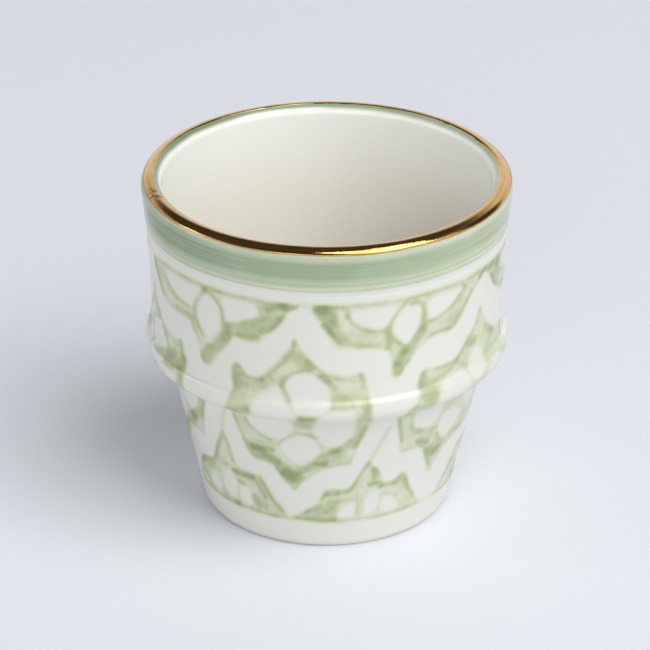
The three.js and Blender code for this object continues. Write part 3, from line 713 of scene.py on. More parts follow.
def outer_skin(sizes, bottom, rows):
    """The outside from a height just above the foot up to the lip; rows scales the number of points."""
    count = {run: max(2, round(steps * rows)) for run, steps in OUTSIDE_STEPS.items()}
    corner = (sizes.ledge_radius, sizes.ledge_height)
    taper_top_height = sizes.ledge_height - sizes.ledge_fillet
    taper_top = (crossing(sizes, taper_top_height), taper_top_height)
    fillet_end = (sizes.ledge_radius + sizes.ledge_fillet, sizes.ledge_height)
    edge_centre = (sizes.ridge_radius - sizes.ridge_edge, sizes.ledge_height + sizes.ridge_edge)
    crest = (sizes.ridge_radius, edge_centre[1])
    half_slope = HALF_CREASE * np.array([math.sin(CREASE_TILT), -math.cos(CREASE_TILT)])
    crease = np.array([sizes.crease_radius, sizes.crease_height])
    slope_low, slope_high = crease + half_slope, crease - half_slope
    waist = (sizes.waist_radius, sizes.waist_height)
    crest_pull = (crest[0], slope_low[1] - (crest[0] - slope_low[0]) / math.tan(CREASE_TILT))
    waist_pull = (waist[0], slope_high[1] + (slope_high[0] - waist[0]) / math.tan(CREASE_TILT))
    flare = (sizes.waist_radius, sizes.cup_height - sizes.flare_drop)
    lip_side = (sizes.rim_radius, lip_centre(sizes)[1])
    start = np.array([[crossing(sizes, bottom), bottom]])
    return np.concatenate([
        start,
        straight(start[0], taper_top, count["taper"]),
        bend(taper_top, corner, fillet_end, count["fillet"]),
        straight(fillet_end, (edge_centre[0], sizes.ledge_height), count["ledge"]),
        round_arc(edge_centre, sizes.ridge_edge, -90, 0, count["edge"])[1:],
        bend(crest, crest_pull, slope_low, count["slope"]),
        straight(slope_low, slope_high, count["crease"]),
        bend(slope_high, waist_pull, waist, count["waist"]),
        bend(waist, flare, lip_side, count["wall"]),
    ])


def inner_skin(sizes, steps):
    """The inside from the lip down to the middle of the floor."""
    half = sizes.lip_thickness / 2
    inner_side = lip_centre(sizes) - np.array([half, 0])
    wall_corner = (crossing(sizes, sizes.floor_height) - sizes.lip_thickness, sizes.floor_height)
    knee_height = sizes.floor_height + sizes.floor_corner
    knee = (crossing(sizes, knee_height) - sizes.lip_thickness, knee_height)
    waist_pull = (sizes.waist_radius - sizes.lip_thickness, sizes.waist_height)
    floor_start = (wall_corner[0] - sizes.floor_corner, sizes.floor_height)
    return np.concatenate([
        inner_side[None],
        bend(inner_side, waist_pull, knee, steps),
        bend(knee, wall_corner, floor_start, FLOOR_CORNER_STEPS),
        straight(floor_start, (0, sizes.floor_height), FLOOR_STEPS),
    ])


def foot_outline(sizes, outer):
    """The underside from its middle, over the recess and the foot ring, to the foot's outer radius."""
    edge, recess = sizes.foot_edge, sizes.foot_recess
    ring = outer - sizes.foot_ring
    recess_end = (ring - RECESS_BEND, recess)
    ring_start = (ring, RING_LIFT)
    ring_flat = (ring + RING_BEND, 0)
    return np.concatenate([
        [(0, recess)],
        straight((0, recess), recess_end, FOOT_STEPS["recess"]),
        bend(recess_end, (ring - RECESS_PULL, recess), ring_start, FOOT_STEPS["recess_bend"]),
        bend(ring_start, (ring + RING_PULL, 0), ring_flat, FOOT_STEPS["ring_bend"]),
        straight(ring_flat, (outer - edge, 0), FOOT_STEPS["ring"]),
        round_arc((outer - edge, edge), edge, -90, FOOT_EDGE_END, FOOT_STEPS["edge"])[1:],
    ])


def sideways(points):
    """Unit directions to the right of a path, mitred at its points."""
    steps = np.diff(points, axis=0)
    steps /= np.linalg.norm(steps, axis=1)[:, None]
    before, after = np.vstack([steps[:1], steps]), np.vstack([steps, steps[-1:]])
    along = before + after
    along /= np.linalg.norm(along, axis=1)[:, None]
    return np.column_stack([along[:, 1], -along[:, 0]])


def coat(skin, thickness, under_every):
    """The closed outline of a coat below a skin; its hidden side keeps only some of the points."""
    normals = sideways(skin)
    edge_drop = np.zeros(len(skin))
    for index, share in enumerate(EDGE_DROPS):
        edge_drop[[index, -1 - index]] = share * thickness
    shown = skin - normals * edge_drop[:, None]
    under = (skin - normals * thickness)[::under_every][::-1]
    under[:, 0] = np.maximum(under[:, 0], 0)
    return np.concatenate([shown, under, shown[:1]])


# Geometry Nodes and shader nodes
class Wiring:
    """Short calls that add nodes to one tree and join them."""

    def __init__(self, tree):
        self.tree = tree

    def node(self, kind, inputs=None, **settings):
        """Adds a node, sets its options and feeds its inputs, by their names or places."""
        made = self.tree.nodes.new(kind)
        for name, value in settings.items():
            setattr(made, name, value)
        for socket, source in (inputs or {}).items():
            self.feed(made.inputs[socket], source)
        return made

    def feed(self, socket, source):
        """Joins a socket to another node's output, or sets it to a plain value."""
        if isinstance(source, bpy.types.NodeSocket):
            self.tree.links.new(source, socket)
        else:
            socket.default_value = source

    def math(self, operation, *sources):
        """One step of arithmetic."""
        return self.node("ShaderNodeMath", dict(enumerate(sources)), operation=operation).outputs[0]

    def vector_math(self, operation, *sources):
        """One step of vector arithmetic, which gives a Vector and a Value."""
        return self.node("ShaderNodeVectorMath", dict(enumerate(sources)), operation=operation).outputs

    def times(self, first, second):
        """Product of two values."""
        return self.math("MULTIPLY", first, second)

    def total(self, first, *others):
        """Sum of two or more values."""
        for other in others:
            first = self.math("ADD", first, other)
        return first

    def clamped(self, source):
        """A value kept between 0 and 1."""
        return self.math("MINIMUM", self.math("MAXIMUM", source, 0.0), 1.0)

    def ramp(self, source, low, high, start=0, end=1):
        """Runs smoothly from start to end as the source goes from low to high."""
        inputs = {"Value": source, "From Min": low, "From Max": high, "To Min": start, "To Max": end}
        made = self.node("ShaderNodeMapRange", inputs, interpolation_type="SMOOTHSTEP")
        return made.outputs["Result"]

    def noise(self, place, scale, detail=2.0, roughness=0.5):
        """Smooth noise about 0.5."""
        inputs = {"Vector": place, "Scale": scale, "Detail": detail, "Roughness": roughness}
        return self.node("ShaderNodeTexNoise", inputs).outputs[0]

    def level_noise(self, place, scale, detail=2.0, roughness=0.5):
        """Smooth noise about zero."""
        return self.math("SUBTRACT", self.noise(place, scale, detail, roughness), 0.5)

    def blend(self, share, first, second):
        """Mixes two colours."""
        made = self.node("ShaderNodeMix", {"Factor": share}, data_type="RGBA")
        colour_inputs = [socket for socket in made.inputs if socket.type == "RGBA"]
        for socket, source in zip(colour_inputs, (first, second)):
            plain = not isinstance(source, bpy.types.NodeSocket)
            self.feed(socket, (*source, 1) if plain else source)
        return next(socket for socket in made.outputs if socket.type == "RGBA")

    def gradient(self, source, stops):
        """Runs through colours at given places."""
        made = self.node("ShaderNodeValToRGB", {"Fac": source})
        elements = made.color_ramp.elements
        while len(elements) < len(stops):
            elements.new(0.5)
        for element, (position, shade) in zip(elements, stops):
            element.position = position
            element.color = (*shade, 1)
        return made.outputs["Color"]

    def place(self):
        """Place on the piece."""
        return self.node("ShaderNodeTexCoord").outputs["Object"]

    def place_parts(self):
        """Place on the piece: across, depth and height."""
        return self.node("ShaderNodeSeparateXYZ", {0: self.place()}).outputs

    def radius(self, place_parts):
        """Distance from the upright axis."""
        across, depth, _ = place_parts
        return self.math("SQRT", self.total(self.times(across, across), self.times(depth, depth)))


def shared_group(name, kind, inputs, outputs, fill):
    """A node group with named sockets, made and filled when it is first asked for."""
    found = bpy.data.node_groups.get(name)
    if found:
        return found
    tree = bpy.data.node_groups.new(name, kind)
    for socket_name, socket_kind, default in inputs:
        socket = tree.interface.new_socket(socket_name, in_out="INPUT", socket_type=socket_kind)
        if default is not None:
            socket.default_value = default
    for socket_name, socket_kind in outputs:
        tree.interface.new_socket(socket_name, in_out="OUTPUT", socket_type=socket_kind)
    wires = Wiring(tree)
    fill(wires, wires.node("NodeGroupInput").outputs, wires.node("NodeGroupOutput").inputs)
    return tree


def on_outline(wires, outline, row, value, kind):
    """A value at one point of the outline."""
    inputs = {"Geometry": outline, "Value": value, "Index": row}
    return wires.node("GeometryNodeSampleIndex", inputs, data_type=kind).outputs[0]


def slid_spot(wires, given, spot, share, round_spot):
    """The gilding's edge slid along the lip, unevenly and further on its narrow side."""
    uneven = wires.level_noise(round_spot, scale=3.2, detail=4.0, roughness=0.6)
    narrow = wires.vector_math("DOT_PRODUCT", round_spot, given["Narrow Side"])["Value"]
    shift = wires.total(wires.times(uneven, given["Edge Sway"]), narrow)
    slid = wires.node(
        "ShaderNodeVectorRotate",
        {"Vector": spot, "Center": given["Lip Centre"], "Angle": wires.times(shift, share)},
        rotation_type="Y_AXIS",
    )
    return slid.outputs[0]


def inward_sway(wires, given, spot):
    """A small step towards the axis, as a hand-turned form has."""
    sway = wires.times(wires.noise(spot, scale=26.0, detail=1.0), given["Hand Sway"])
    inwards = wires.vector_math("MULTIPLY", spot, (-1, -1, 0))["Vector"]
    direction = wires.vector_math("NORMALIZE", inwards)["Vector"]
    step = wires.node("ShaderNodeVectorMath", {0: direction, "Scale": sway}, operation="SCALE")
    return step.outputs[0]


def finished_skin(wires, given, shaped):
    """The turned sheet with its seam closed, shaded smooth and in its material."""
    seam = {"Geometry": shaped, "Distance": MERGE_DISTANCE}
    merged = wires.node("GeometryNodeMergeByDistance", seam).outputs[0]
    smooth = wires.node("GeometryNodeSetShadeSmooth", {"Geometry": merged}).outputs[0]
    real = wires.node("GeometryNodeRealizeInstances", {"Geometry": smooth}).outputs[0]
    finish = {"Geometry": real, "Material": given["Material"]}
    return wires.node("GeometryNodeSetMaterial", finish).outputs[0]


# What the turned form is given and what it makes: name, kind of socket and first value
TURNED_FORM_INPUTS = [
    ("Outline", "NodeSocketObject", None),
    ("Outline Points", "NodeSocketInt", 2),
    ("Turn Steps", "NodeSocketInt", 256),
    ("Hand Sway", "NodeSocketFloat", 0.0),
    ("Edge Sway", "NodeSocketFloat", 0.0),
    ("Narrow Side", "NodeSocketVector", (0, 0, 0)),
    ("Lip Centre", "NodeSocketVector", (0, 0, 0)),
    ("Material", "NodeSocketMaterial", None),
]
TURNED_FORM_OUTPUTS = [("Geometry", "NodeSocketGeometry")]


def turned_form(wires, given, result):
    """Turns an outline round the upright axis into a closed skin, as a wheel does."""
    points, turns = given["Outline Points"], given["Turn Steps"]
    columns = {"Vertices X": wires.math("ADD", turns, 1), "Vertices Y": points}
    sheet = wires.node("GeometryNodeMeshGrid", columns).outputs["Mesh"]
    index = wires.node("GeometryNodeInputIndex").outputs[0]
    row = wires.math("FLOORED_MODULO", index, points)
    step = wires.math("FLOOR", wires.math("DIVIDE", index, points))
    angle = wires.times(wires.math("DIVIDE", step, turns), math.tau)
    drawn = wires.node("GeometryNodeObjectInfo", {"Object": given["Outline"]}, transform_space="RELATIVE")
    outline = drawn.outputs["Geometry"]
    position = wires.node("GeometryNodeInputPosition").outputs[0]
    spot = on_outline(wires, outline, row, position, "FLOAT_VECTOR")
    edge = wires.node("GeometryNodeInputNamedAttribute", {"Name": "edge_share"}, data_type="FLOAT")
    share = on_outline(wires, outline, row, edge.outputs["Attribute"], "FLOAT")
    parts = {0: wires.math("COSINE", angle), 1: wires.math("SINE", angle), 2: share}
    round_spot = wires.node("ShaderNodeCombineXYZ", parts).outputs[0]
    turn = {"Vector": slid_spot(wires, given, spot, share, round_spot), "Angle": angle}
    turned = wires.node("ShaderNodeVectorRotate", turn, rotation_type="Z_AXIS").outputs[0]
    moves = {"Geometry": sheet, "Position": turned, "Offset": inward_sway(wires, given, turned)}
    shaped = wires.node("GeometryNodeSetPosition", moves).outputs[0]
    wires.feed(result["Geometry"], finished_skin(wires, given, shaped))


def outline_object(name, outline, edge_share):
    """An outline as a line of points in the XZ plane."""
    mesh = bpy.data.meshes.new(name)
    points = [(radius, 0, height) for radius, height in outline]
    mesh.from_pydata(points, [(i, i + 1) for i in range(len(points) - 1)], [])
    mesh.attributes.new("edge_share", "FLOAT", "POINT").data.foreach_set("value", edge_share)
    made = bpy.data.objects.new(name, mesh)
    bpy.context.collection.objects.link(made)
    return made


def set_inputs(modifier, values):
    """Sets a Geometry Nodes modifier's inputs by their sockets' identifiers."""
    for item in modifier.node_group.interface.items_tree:
        if item.item_type == "SOCKET" and item.in_out == "INPUT" and item.name in values:
            modifier[item.identifier] = values[item.name]


def face_outwards(mesh):
    """Turns a closed mesh's faces outwards."""
    shell = bmesh.new()
    shell.from_mesh(mesh)
    bmesh.ops.recalc_face_normals(shell, faces=shell.faces)
    shell.to_mesh(mesh)
    shell.free()


def turned_piece(
    name, outline, steps, material, edge_sway=0.0, narrow_side=(0.0, 0.0, 0.0), edge_share=None
):
    """A closed piece turned from an outline, as a plain mesh."""
    sizes = bpy.context.scene.cup_sizes
    share = np.zeros(len(outline)) if edge_share is None else edge_share
    line = outline_object(name + "_outline", outline, share)
    piece = bpy.data.objects.new(name, bpy.data.meshes.new(name))
    bpy.context.collection.objects.link(piece)
    modifier = piece.modifiers.new("Turned form", "NODES")
    modifier.node_group = shared_group(
        "Turned form", "GeometryNodeTree", TURNED_FORM_INPUTS, TURNED_FORM_OUTPUTS, turned_form
    )
    centre = lip_centre(sizes)
    set_inputs(modifier, {
        "Outline": line,
        "Outline Points": len(outline),
        "Turn Steps": steps,
        "Hand Sway": sizes.hand_sway,
        "Edge Sway": edge_sway,
        "Narrow Side": narrow_side,
        "Lip Centre": (centre[0], 0.0, centre[1]),
        "Material": material,
    })
    shaped = piece.evaluated_get(bpy.context.evaluated_depsgraph_get())
    mesh = bpy.data.meshes.new_from_object(shaped)
    piece.modifiers.remove(modifier)
    piece.data = mesh
    mesh.name = name
    bpy.data.objects.remove(line)
    face_outwards(mesh)
    mesh.set_sharp_from_angle(angle=SHARP_ANGLE)
    return piece


def hand_over(piece, slot, *nodes):
    """Puts a finished piece in the frame, in place of CAD nodes."""
    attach(piece, "root")
    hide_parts(*nodes)


def glaze_surface(wires, given, result):
    """Slow waves, fine skin and uneven gloss of a melted glaze."""
    place = wires.place()
    waves = wires.noise(place, given["Wave Scale"], detail=2.0, roughness=0.4)
    skin = wires.noise(place, scale=1600.0, detail=1.0)
    dull = wires.level_noise(place, scale=90.0, detail=3.0)
    wires.feed(result["Height"], wires.total(waves, wires.times(skin, 0.02)))
    wires.feed(result["Roughness"], wires.total(given["Gloss"], wires.times(dull, 0.08)))


def turning_marks(wires, given, result):
    """Streaks that a brush leaves on a turning cup."""
    place = wires.place_parts()
    across, depth, height = place
    level = wires.total(height, wires.times(wires.radius(place), 1.7))
    streak = wires.node("ShaderNodeCombineXYZ", {
        0: wires.times(across, given["Around Scale"]),
        1: wires.times(depth, given["Around Scale"]),
        2: wires.times(level, given["Across Scale"]),
    })
    amount = wires.noise(streak.outputs[0], scale=1.0, detail=3.0, roughness=0.6)
    wires.feed(result["Amount"], amount)


def uneven_paint(wires, given, result):
    """Clouds and fine grain of thin paint on glaze, both about zero."""
    place = wires.place()
    clouds = wires.level_noise(place, given["Cloud Scale"], detail=3.0, roughness=0.55)
    grain = wires.level_noise(place, given["Grain Scale"], detail=2.0, roughness=0.6)
    wires.feed(result["Clouds"], clouds)
    wires.feed(result["Grain"], grain)


# Shader groups: what fills each one, the values it takes and those it gives
SHADER_GROUPS = {
    "Glaze surface": (glaze_surface, {"Wave Scale": 140.0, "Gloss": 0.12}, ["Height", "Roughness"]),
    "Turning marks": (turning_marks, {"Around Scale": 30.0, "Across Scale": 900.0}, ["Amount"]),
    "Uneven paint": (uneven_paint, {"Cloud Scale": 240.0, "Grain Scale": 1500.0}, ["Clouds", "Grain"]),
}


def placed_group(wires, name, **values):
    """Puts a shader group into a material with this material's values."""
    fill, taken, given = SHADER_GROUPS[name]
    inputs = [(socket, "NodeSocketFloat", default) for socket, default in taken.items()]
    outputs = [(socket, "NodeSocketFloat") for socket in given]
    tree = shared_group(name, "ShaderNodeTree", inputs, outputs, fill)
    made = wires.node("ShaderNodeGroup", node_tree=tree)
    for key, value in values.items():
        wires.feed(made.inputs[key.replace("_", " ").title()], value)
    return made.outputs


def mottled(wires, paint, clouds, grain):
    """Clouds and grain of uneven paint, each in its share."""
    return wires.total(wires.times(paint["Clouds"], clouds), wires.times(paint["Grain"], grain))


def new_material(name):
    """A material with one Principled BSDF."""
    material = bpy.data.materials.new(name)
    material.use_nodes = True
    wires = Wiring(material.node_tree)
    return material, wires, material.node_tree.nodes["Principled BSDF"].inputs


def add_bump(wires, shader, height, strength, distance):
    """Raises the surface by a height that changes over it."""
    inputs = {"Strength": strength, "Distance": distance, "Height": height}
    wires.feed(shader["Normal"], wires.node("ShaderNodeBump", inputs).outputs["Normal"])


def finish_glaze(wires, shader, shade, gloss):
    """Joins a glaze's colour and its melted surface to the shader."""
    surface = placed_group(wires, "Glaze surface", wave_scale=GLAZE_WAVES, gloss=gloss)
    wires.feed(shader["Base Color"], shade)
    wires.feed(shader["Roughness"], surface["Roughness"])
    shader["IOR"].default_value = GLAZE_IOR
    add_bump(wires, shader, surface["Height"], strength=0.25, distance=0.4 * MM)


def near_spot(wires, spot, reach):
    """1 at a spot on the piece, falling to 0 at its reach."""
    apart = wires.vector_math("DISTANCE", wires.place(), spot)["Value"]
    return wires.ramp(apart, SPOT_CORE * reach, reach, start=1, end=0)


def attribute(wires, name):
    """A value stored on the mesh."""
    return wires.node("ShaderNodeAttribute", attribute_name=name).outputs["Fac"]


def painted_glaze_material(colours):
    """White gloss glaze with the ornament washed on in thin greens."""
    material, wires, shader = new_material("painted_white_glaze")
    paint = placed_group(wires, "Uneven paint", cloud_scale=190.0, grain_scale=1100.0)
    ragged = mottled(wires, paint, clouds=0.8, grain=0.2)
    ground = wires.total(attribute(wires, "ground"), ragged)
    petal_gap = wires.total(attribute(wires, "petal_gap"), ragged)
    in_ground = wires.ramp(ground, *WASH_EDGE)
    at_edge = wires.ramp(ground, *WASH_RIM, start=0.1, end=0)
    full_wash = wires.total(mottled(wires, paint, clouds=0.8, grain=0.08), at_edge, WASH_STRENGTH)
    beside_petal = wires.ramp(petal_gap, *PETAL_SIDE, start=0.5, end=1)
    wash = wires.times(wires.times(in_ground, full_wash), beside_petal)
    load = wires.total(mottled(wires, paint, clouds=1.1, grain=0.15), 1.0)
    strength = wires.total(wash, wires.times(attribute(wires, "brush"), load))
    shade = wires.gradient(strength, [
        (0.0, colours.white_glaze), (0.26, colours.wash_light), (0.48, colours.wash_middle),
        (0.74, colours.wash_dark), (1.0, colours.wash_pooled),
    ])
    finish_glaze(wires, shader, shade, OUTER_GLOSS)
    return material


def cream_shade(wires, colours):
    """Cream in slow clouds, whiter towards the lip: partly the glaze's own tone, partly painted shade deeper
    in the cup.
    """
    paint = placed_group(wires, "Uneven paint", cloud_scale=60.0, grain_scale=700.0)
    height = wires.total(wires.place_parts()[2], wires.times(paint["Clouds"], 12 * MM))
    # Painted shade deeper in the cup, partly the glaze's own tone
    deeper_and_shaded = wires.ramp(height, *CREAM_DEEPENS_AND_SHADES, start=1, end=0)
    return wires.blend(deeper_and_shaded, colours.cream_glaze, colours.cream_deep_and_shaded)


def cream_glaze_material(colours):
    """Cream gloss glaze that lines the inside."""
    material, wires, shader = new_material("cream_glaze")
    finish_glaze(wires, shader, cream_shade(wires, colours), INNER_GLOSS)
    return material


def angle_on_lip(wires, place, sizes):
    """Angle round the lip, from -90 degrees below it over 0 at its outer side and 90 at its top."""
    centre = lip_centre(sizes)
    up = wires.math("SUBTRACT", place[2], centre[1])
    out = wires.math("SUBTRACT", wires.radius(place), centre[0])
    from_below = wires.math("ADD", wires.math("ARCTAN2", up, out), math.pi / 2)
    return wires.math("SUBTRACT", wires.math("FLOORED_MODULO", from_below, math.tau), math.pi / 2)


def band_thinness_and_sheen(wires, height, lip_angle, base):
    """How pale the band's green is: thinnest at its lower edge, and pale on the lip's outer side, partly
    thinner glaze and partly a painted highlight.
    """
    low, high = BAND_THICKENS
    low_thin = wires.ramp(height, base + low, base + high, start=0.62, end=0.05)
    # Painted highlight on the lip's outer side, just under the gold, partly thinner glaze
    lip_thin_and_sheen = wires.ramp(lip_angle, *LIP_THINS_AND_SHINES, start=0, end=0.42)
    below_top_of_lip = wires.ramp(lip_angle, *LIP_PALENESS_ENDS, start=1, end=0)
    return wires.math("MAXIMUM", low_thin, wires.times(lip_thin_and_sheen, below_top_of_lip))


def lined_band(wires, shade, height, base, colours):
    """The band's green with the olive lines near its lower edge."""
    for above_base, half_width, share in BAND_LINES:
        middle = base + above_base
        rising = wires.ramp(height, middle - half_width, middle)
        falling = wires.ramp(height, middle, middle + half_width, start=1, end=0)
        on_line = wires.times(wires.times(rising, falling), share)
        shade = wires.blend(on_line, shade, colours.sage_line)
    return shade


def sage_glaze_material(colours, sizes):
    """Green band, brushed on in turns: deep below the gold, thinner and lined towards its lower edge; with
    painted shade on its left side, painted light on its right, and a paler stripe under the gold that is
    partly a painted highlight.
    """
    material, wires, shader = new_material("sage_glaze")
    place = wires.place_parts()
    paint = placed_group(wires, "Uneven paint", cloud_scale=120.0, grain_scale=1200.0)
    marks = placed_group(wires, "Turning marks", around_scale=34.0, across_scale=1500.0)
    streaks = wires.math("SUBTRACT", marks["Amount"], 0.5)
    height = wires.total(place[2], wires.times(streaks, 0.9 * MM))
    lip_angle = angle_on_lip(wires, place, sizes)
    base = sizes.band_height
    cool = wires.ramp(paint["Clouds"], -0.02, 0.16, start=0, end=0.7)
    # Painted shade on the band's left side and painted light on its right side, set by place across the cup
    full = wires.ramp(place[0], *PAINTED_SHADE_LEFT, start=0.8, end=0)
    painted_light_right = wires.ramp(place[0], *PAINTED_LIGHT_RIGHT, start=0, end=0.18)
    # Pale share: thinner glaze, the painted light on the band's right side and the painted highlight under
    # the gold
    thin = wires.clamped(wires.total(
        band_thinness_and_sheen(wires, height, lip_angle, base), painted_light_right,
        wires.times(streaks, 0.7), wires.times(paint["Clouds"], 0.3),
    ))
    sage = wires.blend(full, wires.blend(cool, colours.sage_glaze, colours.sage_cool), colours.sage_painted_shade)
    lined = lined_band(wires, wires.blend(thin, sage, colours.sage_thin_and_lit), height, base, colours)
    low, high = BAND_FADE
    outer_fade = wires.ramp(height, base + low, base + high, start=1, end=0)
    inner_angle = wires.total(lip_angle, wires.times(paint["Clouds"], 0.25))
    inner_fade = wires.ramp(inner_angle, *LIP_FADE)
    outer_faded = wires.blend(outer_fade, lined, colours.white_glaze)
    shade = wires.blend(inner_fade, outer_faded, cream_shade(wires, colours))
    finish_glaze(wires, shader, shade, INNER_GLOSS)
    return material


def gilding_material(colours):
    """Brushed gold, rubbed thinner in streaks and nicked at one spot."""
    material, wires, shader = new_material("gilding")
    marks = placed_group(wires, "Turning marks", around_scale=40.0, across_scale=1700.0)
    paint = placed_group(wires, "Uneven paint", cloud_scale=320.0, grain_scale=2600.0)
    above_level = wires.math("SUBTRACT", marks["Amount"], GOLD_STREAK_LEVEL)
    streaks = wires.times(above_level, GOLD_STREAK_CONTRAST)
    nicks = wires.ramp(wires.noise(wires.place(), scale=760.0, detail=1.0), *NICK_LEVELS)
    nicked = wires.times(nicks, near_spot(wires, NICKED_SPOT, NICK_REACH))
    rubbed = wires.times(near_spot(wires, NICKED_SPOT, WORN_REACH), 0.5)
    worn = wires.clamped(wires.total(streaks, paint["Clouds"], nicked, rubbed))
    gold = wires.blend(worn, colours.gold, colours.gold_worn)
    wires.feed(shader["Base Color"], wires.blend(nicked, gold, colours.gold_nick))
    shader["Metallic"].default_value = 1.0
    wires.feed(shader["Roughness"], wires.total(wires.times(worn, 0.1), 0.06))
    raised = wires.total(marks["Amount"], wires.times(paint["Grain"], 0.4), wires.times(nicked, -1.2))
    add_bump(wires, shader, raised, strength=0.2, distance=0.2 * MM)
    return material


def clay_material(colours):
    """Bare fired clay: matt, grainy, with turning lines."""
    material, wires, shader = new_material("fired_clay")
    paint = placed_group(wires, "Uneven paint", cloud_scale=150.0, grain_scale=2200.0)
    marks = placed_group(wires, "Turning marks", around_scale=30.0, across_scale=1200.0)
    tone = mottled(wires, paint, clouds=0.9, grain=0.8)
    dark = wires.clamped(wires.total(tone, wires.times(marks["Amount"], 0.6)))
    wires.feed(shader["Base Color"], wires.blend(dark, colours.clay, colours.clay_dark))
    wires.feed(shader["Roughness"], wires.total(wires.times(paint["Grain"], 0.2), 0.82))
    raised = wires.total(paint["Grain"], wires.times(marks["Amount"], 0.8))
    add_bump(wires, shader, raised, strength=0.5, distance=0.3 * MM)
    return material


def floor_material(settings):
    """Pale smooth floor with a faint mottle."""
    material, wires, shader = new_material("pale_floor")
    mottle = wires.times(wires.noise(wires.place(), scale=9.0, detail=3.0), 0.12)
    shade = [level * 0.97 for level in settings.floor_colour]
    wires.feed(shader["Base Color"], wires.blend(mottle, settings.floor_colour, shade))
    shader["Roughness"].default_value = 0.7
    return material


class PieceOperator:
    """Makes one piece from the scene's sizes and colours."""

    def execute(self, context):
        self.make(context.scene.cup_sizes, context.scene.cup_colours)
        return {"FINISHED"}


class CUP_OT_clay_body(PieceOperator, bpy.types.Operator):
    """Turn the clay body with its foot ring and recess"""

    bl_idname = "cup.clay_body"
    bl_label = "Clay Body"

    def make(self, sizes, colours):
        outside = outer_skin(sizes, sizes.bare_foot, CLAY_ROWS)
        arch = lip_arch(sizes, CLAY_ARCH_STEPS)
        skin = np.concatenate([outside, arch, inner_skin(sizes, CLAY_INSIDE_STEPS)])
        body = skin - sideways(skin) * (sizes.glaze_thickness + CLAY_GAP)
        body[-1, 0] = 0
        outline = np.concatenate([foot_outline(sizes, body[0, 0]), body])
        material = clay_material(colours)
        piece = turned_piece("clay_form", outline, PLAIN_TURN_STEPS, material)
        hand_over(piece, "clay", "clay_body")


class CUP_OT_outer_glaze(PieceOperator, bpy.types.Operator):
    """Lay the white glaze on the outside and paint the ornament on it"""

    bl_idname = "cup.outer_glaze"
    bl_label = "Painted Outer Glaze"

    def make(self, sizes, colours):
        skin = outer_skin(sizes, sizes.bare_foot, GLAZE_ROWS)
        skin = skin[skin[:, 1] < sizes.band_height + GLAZE_LAP]
        under_band = np.clip((skin[:, 1] - sizes.band_height + SINK_START) / SINK_RUN, 0, 1)
        skin = skin - sideways(skin) * (SINK_DEPTH * under_band)[:, None]
        outline = coat(skin, sizes.glaze_thickness, GLAZE_UNDER_EVERY)
        material = painted_glaze_material(colours)
        piece = turned_piece("painted_glaze", outline, sizes.turn_steps, material)
        self.paint(piece.data)
        stars = [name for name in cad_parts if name.startswith("star_")]
        hand_over(piece, "white_glaze", "outer_glaze", "upper_border", "lower_border", *stars)

    def paint(self, mesh):
        """Stores the ornament's paint on the glaze's points."""
        spots = np.zeros(len(mesh.vertices) * 3)
        mesh.vertices.foreach_get("co", spots)
        spots = spots.reshape(-1, 3)
        degrees = np.degrees(np.arctan2(spots[:, 0], -spots[:, 1]))
        for name, values in paint_layers(degrees, spots[:, 2] / MM).items():
            mesh.attributes.new(name, "FLOAT", "POINT").data.foreach_set("value", values)


class CUP_OT_inner_glaze(PieceOperator, bpy.types.Operator):
    """Line the inside with cream glaze"""

    bl_idname = "cup.inner_glaze"
    bl_label = "Inner Glaze"

    def make(self, sizes, colours):
        skin = inner_skin(sizes, INSIDE_STEPS)
        sink = np.clip(1 - np.arange(len(skin)) / SEAM_POINTS, 0, 1) * SEAM_DIP
        skin = skin - sideways(skin) * sink[:, None]
        under = skin - sideways(skin) * sizes.glaze_thickness
        under[-1, 0] = 0
        outline = np.concatenate([skin, under[::-1], skin[:1]])
        material = cream_glaze_material(colours)
        piece = turned_piece("cream_lining", outline, PLAIN_TURN_STEPS, material)
        hand_over(piece, "cream_glaze", "inner_glaze")


class CUP_OT_rim_band(PieceOperator, bpy.types.Operator):
    """Lay the green band over the lip"""

    bl_idname = "cup.rim_band"
    bl_label = "Green Rim Band"

    def make(self, sizes, colours):
        outside = outer_skin(sizes, sizes.bare_foot, BAND_ROWS)
        outside = outside[outside[:, 1] > sizes.band_height - BAND_LAP]
        arch = lip_arch(sizes, BAND_ARCH_STEPS)
        inside = inner_skin(sizes, INSIDE_STEPS)[:SEAM_POINTS]
        dip = np.linspace(0, SEAM_DIP, len(inside))
        inside = inside - sideways(inside) * dip[:, None]
        skin = np.concatenate([outside, arch, inside])
        outline = coat(skin, sizes.glaze_thickness, BAND_UNDER_EVERY)
        material = sage_glaze_material(colours, sizes)
        piece = turned_piece("green_band", outline, BAND_TURN_STEPS, material)
        hand_over(piece, "sage_glaze", "rim_band")


class CUP_OT_gold_rim(PieceOperator, bpy.types.Operator):
    """Gild the lip with a hand-drawn, uneven edge"""

    bl_idname = "cup.gold_rim"
    bl_label = "Gold Rim"

    def make(self, sizes, colours):
        half = sizes.lip_thickness / 2
        centre = lip_centre(sizes)
        share = np.linspace(-1, 1, GOLD_STEPS + 1)
        swell = np.sqrt(np.clip(1 - np.abs(share) ** GOLD_SHOULDERS, 0, 1)) * sizes.gold_thickness
        shown = round_arc(centre, half + swell, GOLD_FIRST, GOLD_LAST, GOLD_STEPS)
        sunk = round_arc(centre, half - GOLD_SUNK, GOLD_LAST, GOLD_FIRST, GOLD_UNDER_STEPS)
        sunk_share = np.linspace(1, -1, GOLD_UNDER_STEPS + 1)
        piece = turned_piece(
            "gold_lip", np.concatenate([shown, sunk, shown[:1]]), GOLD_TURN_STEPS,
            gilding_material(colours), GOLD_EDGE_SWAY, GOLD_NARROW_SIDE,
            np.concatenate([share, sunk_share, share[:1]]),
        )
        hand_over(piece, "gilding", "gold_rim")


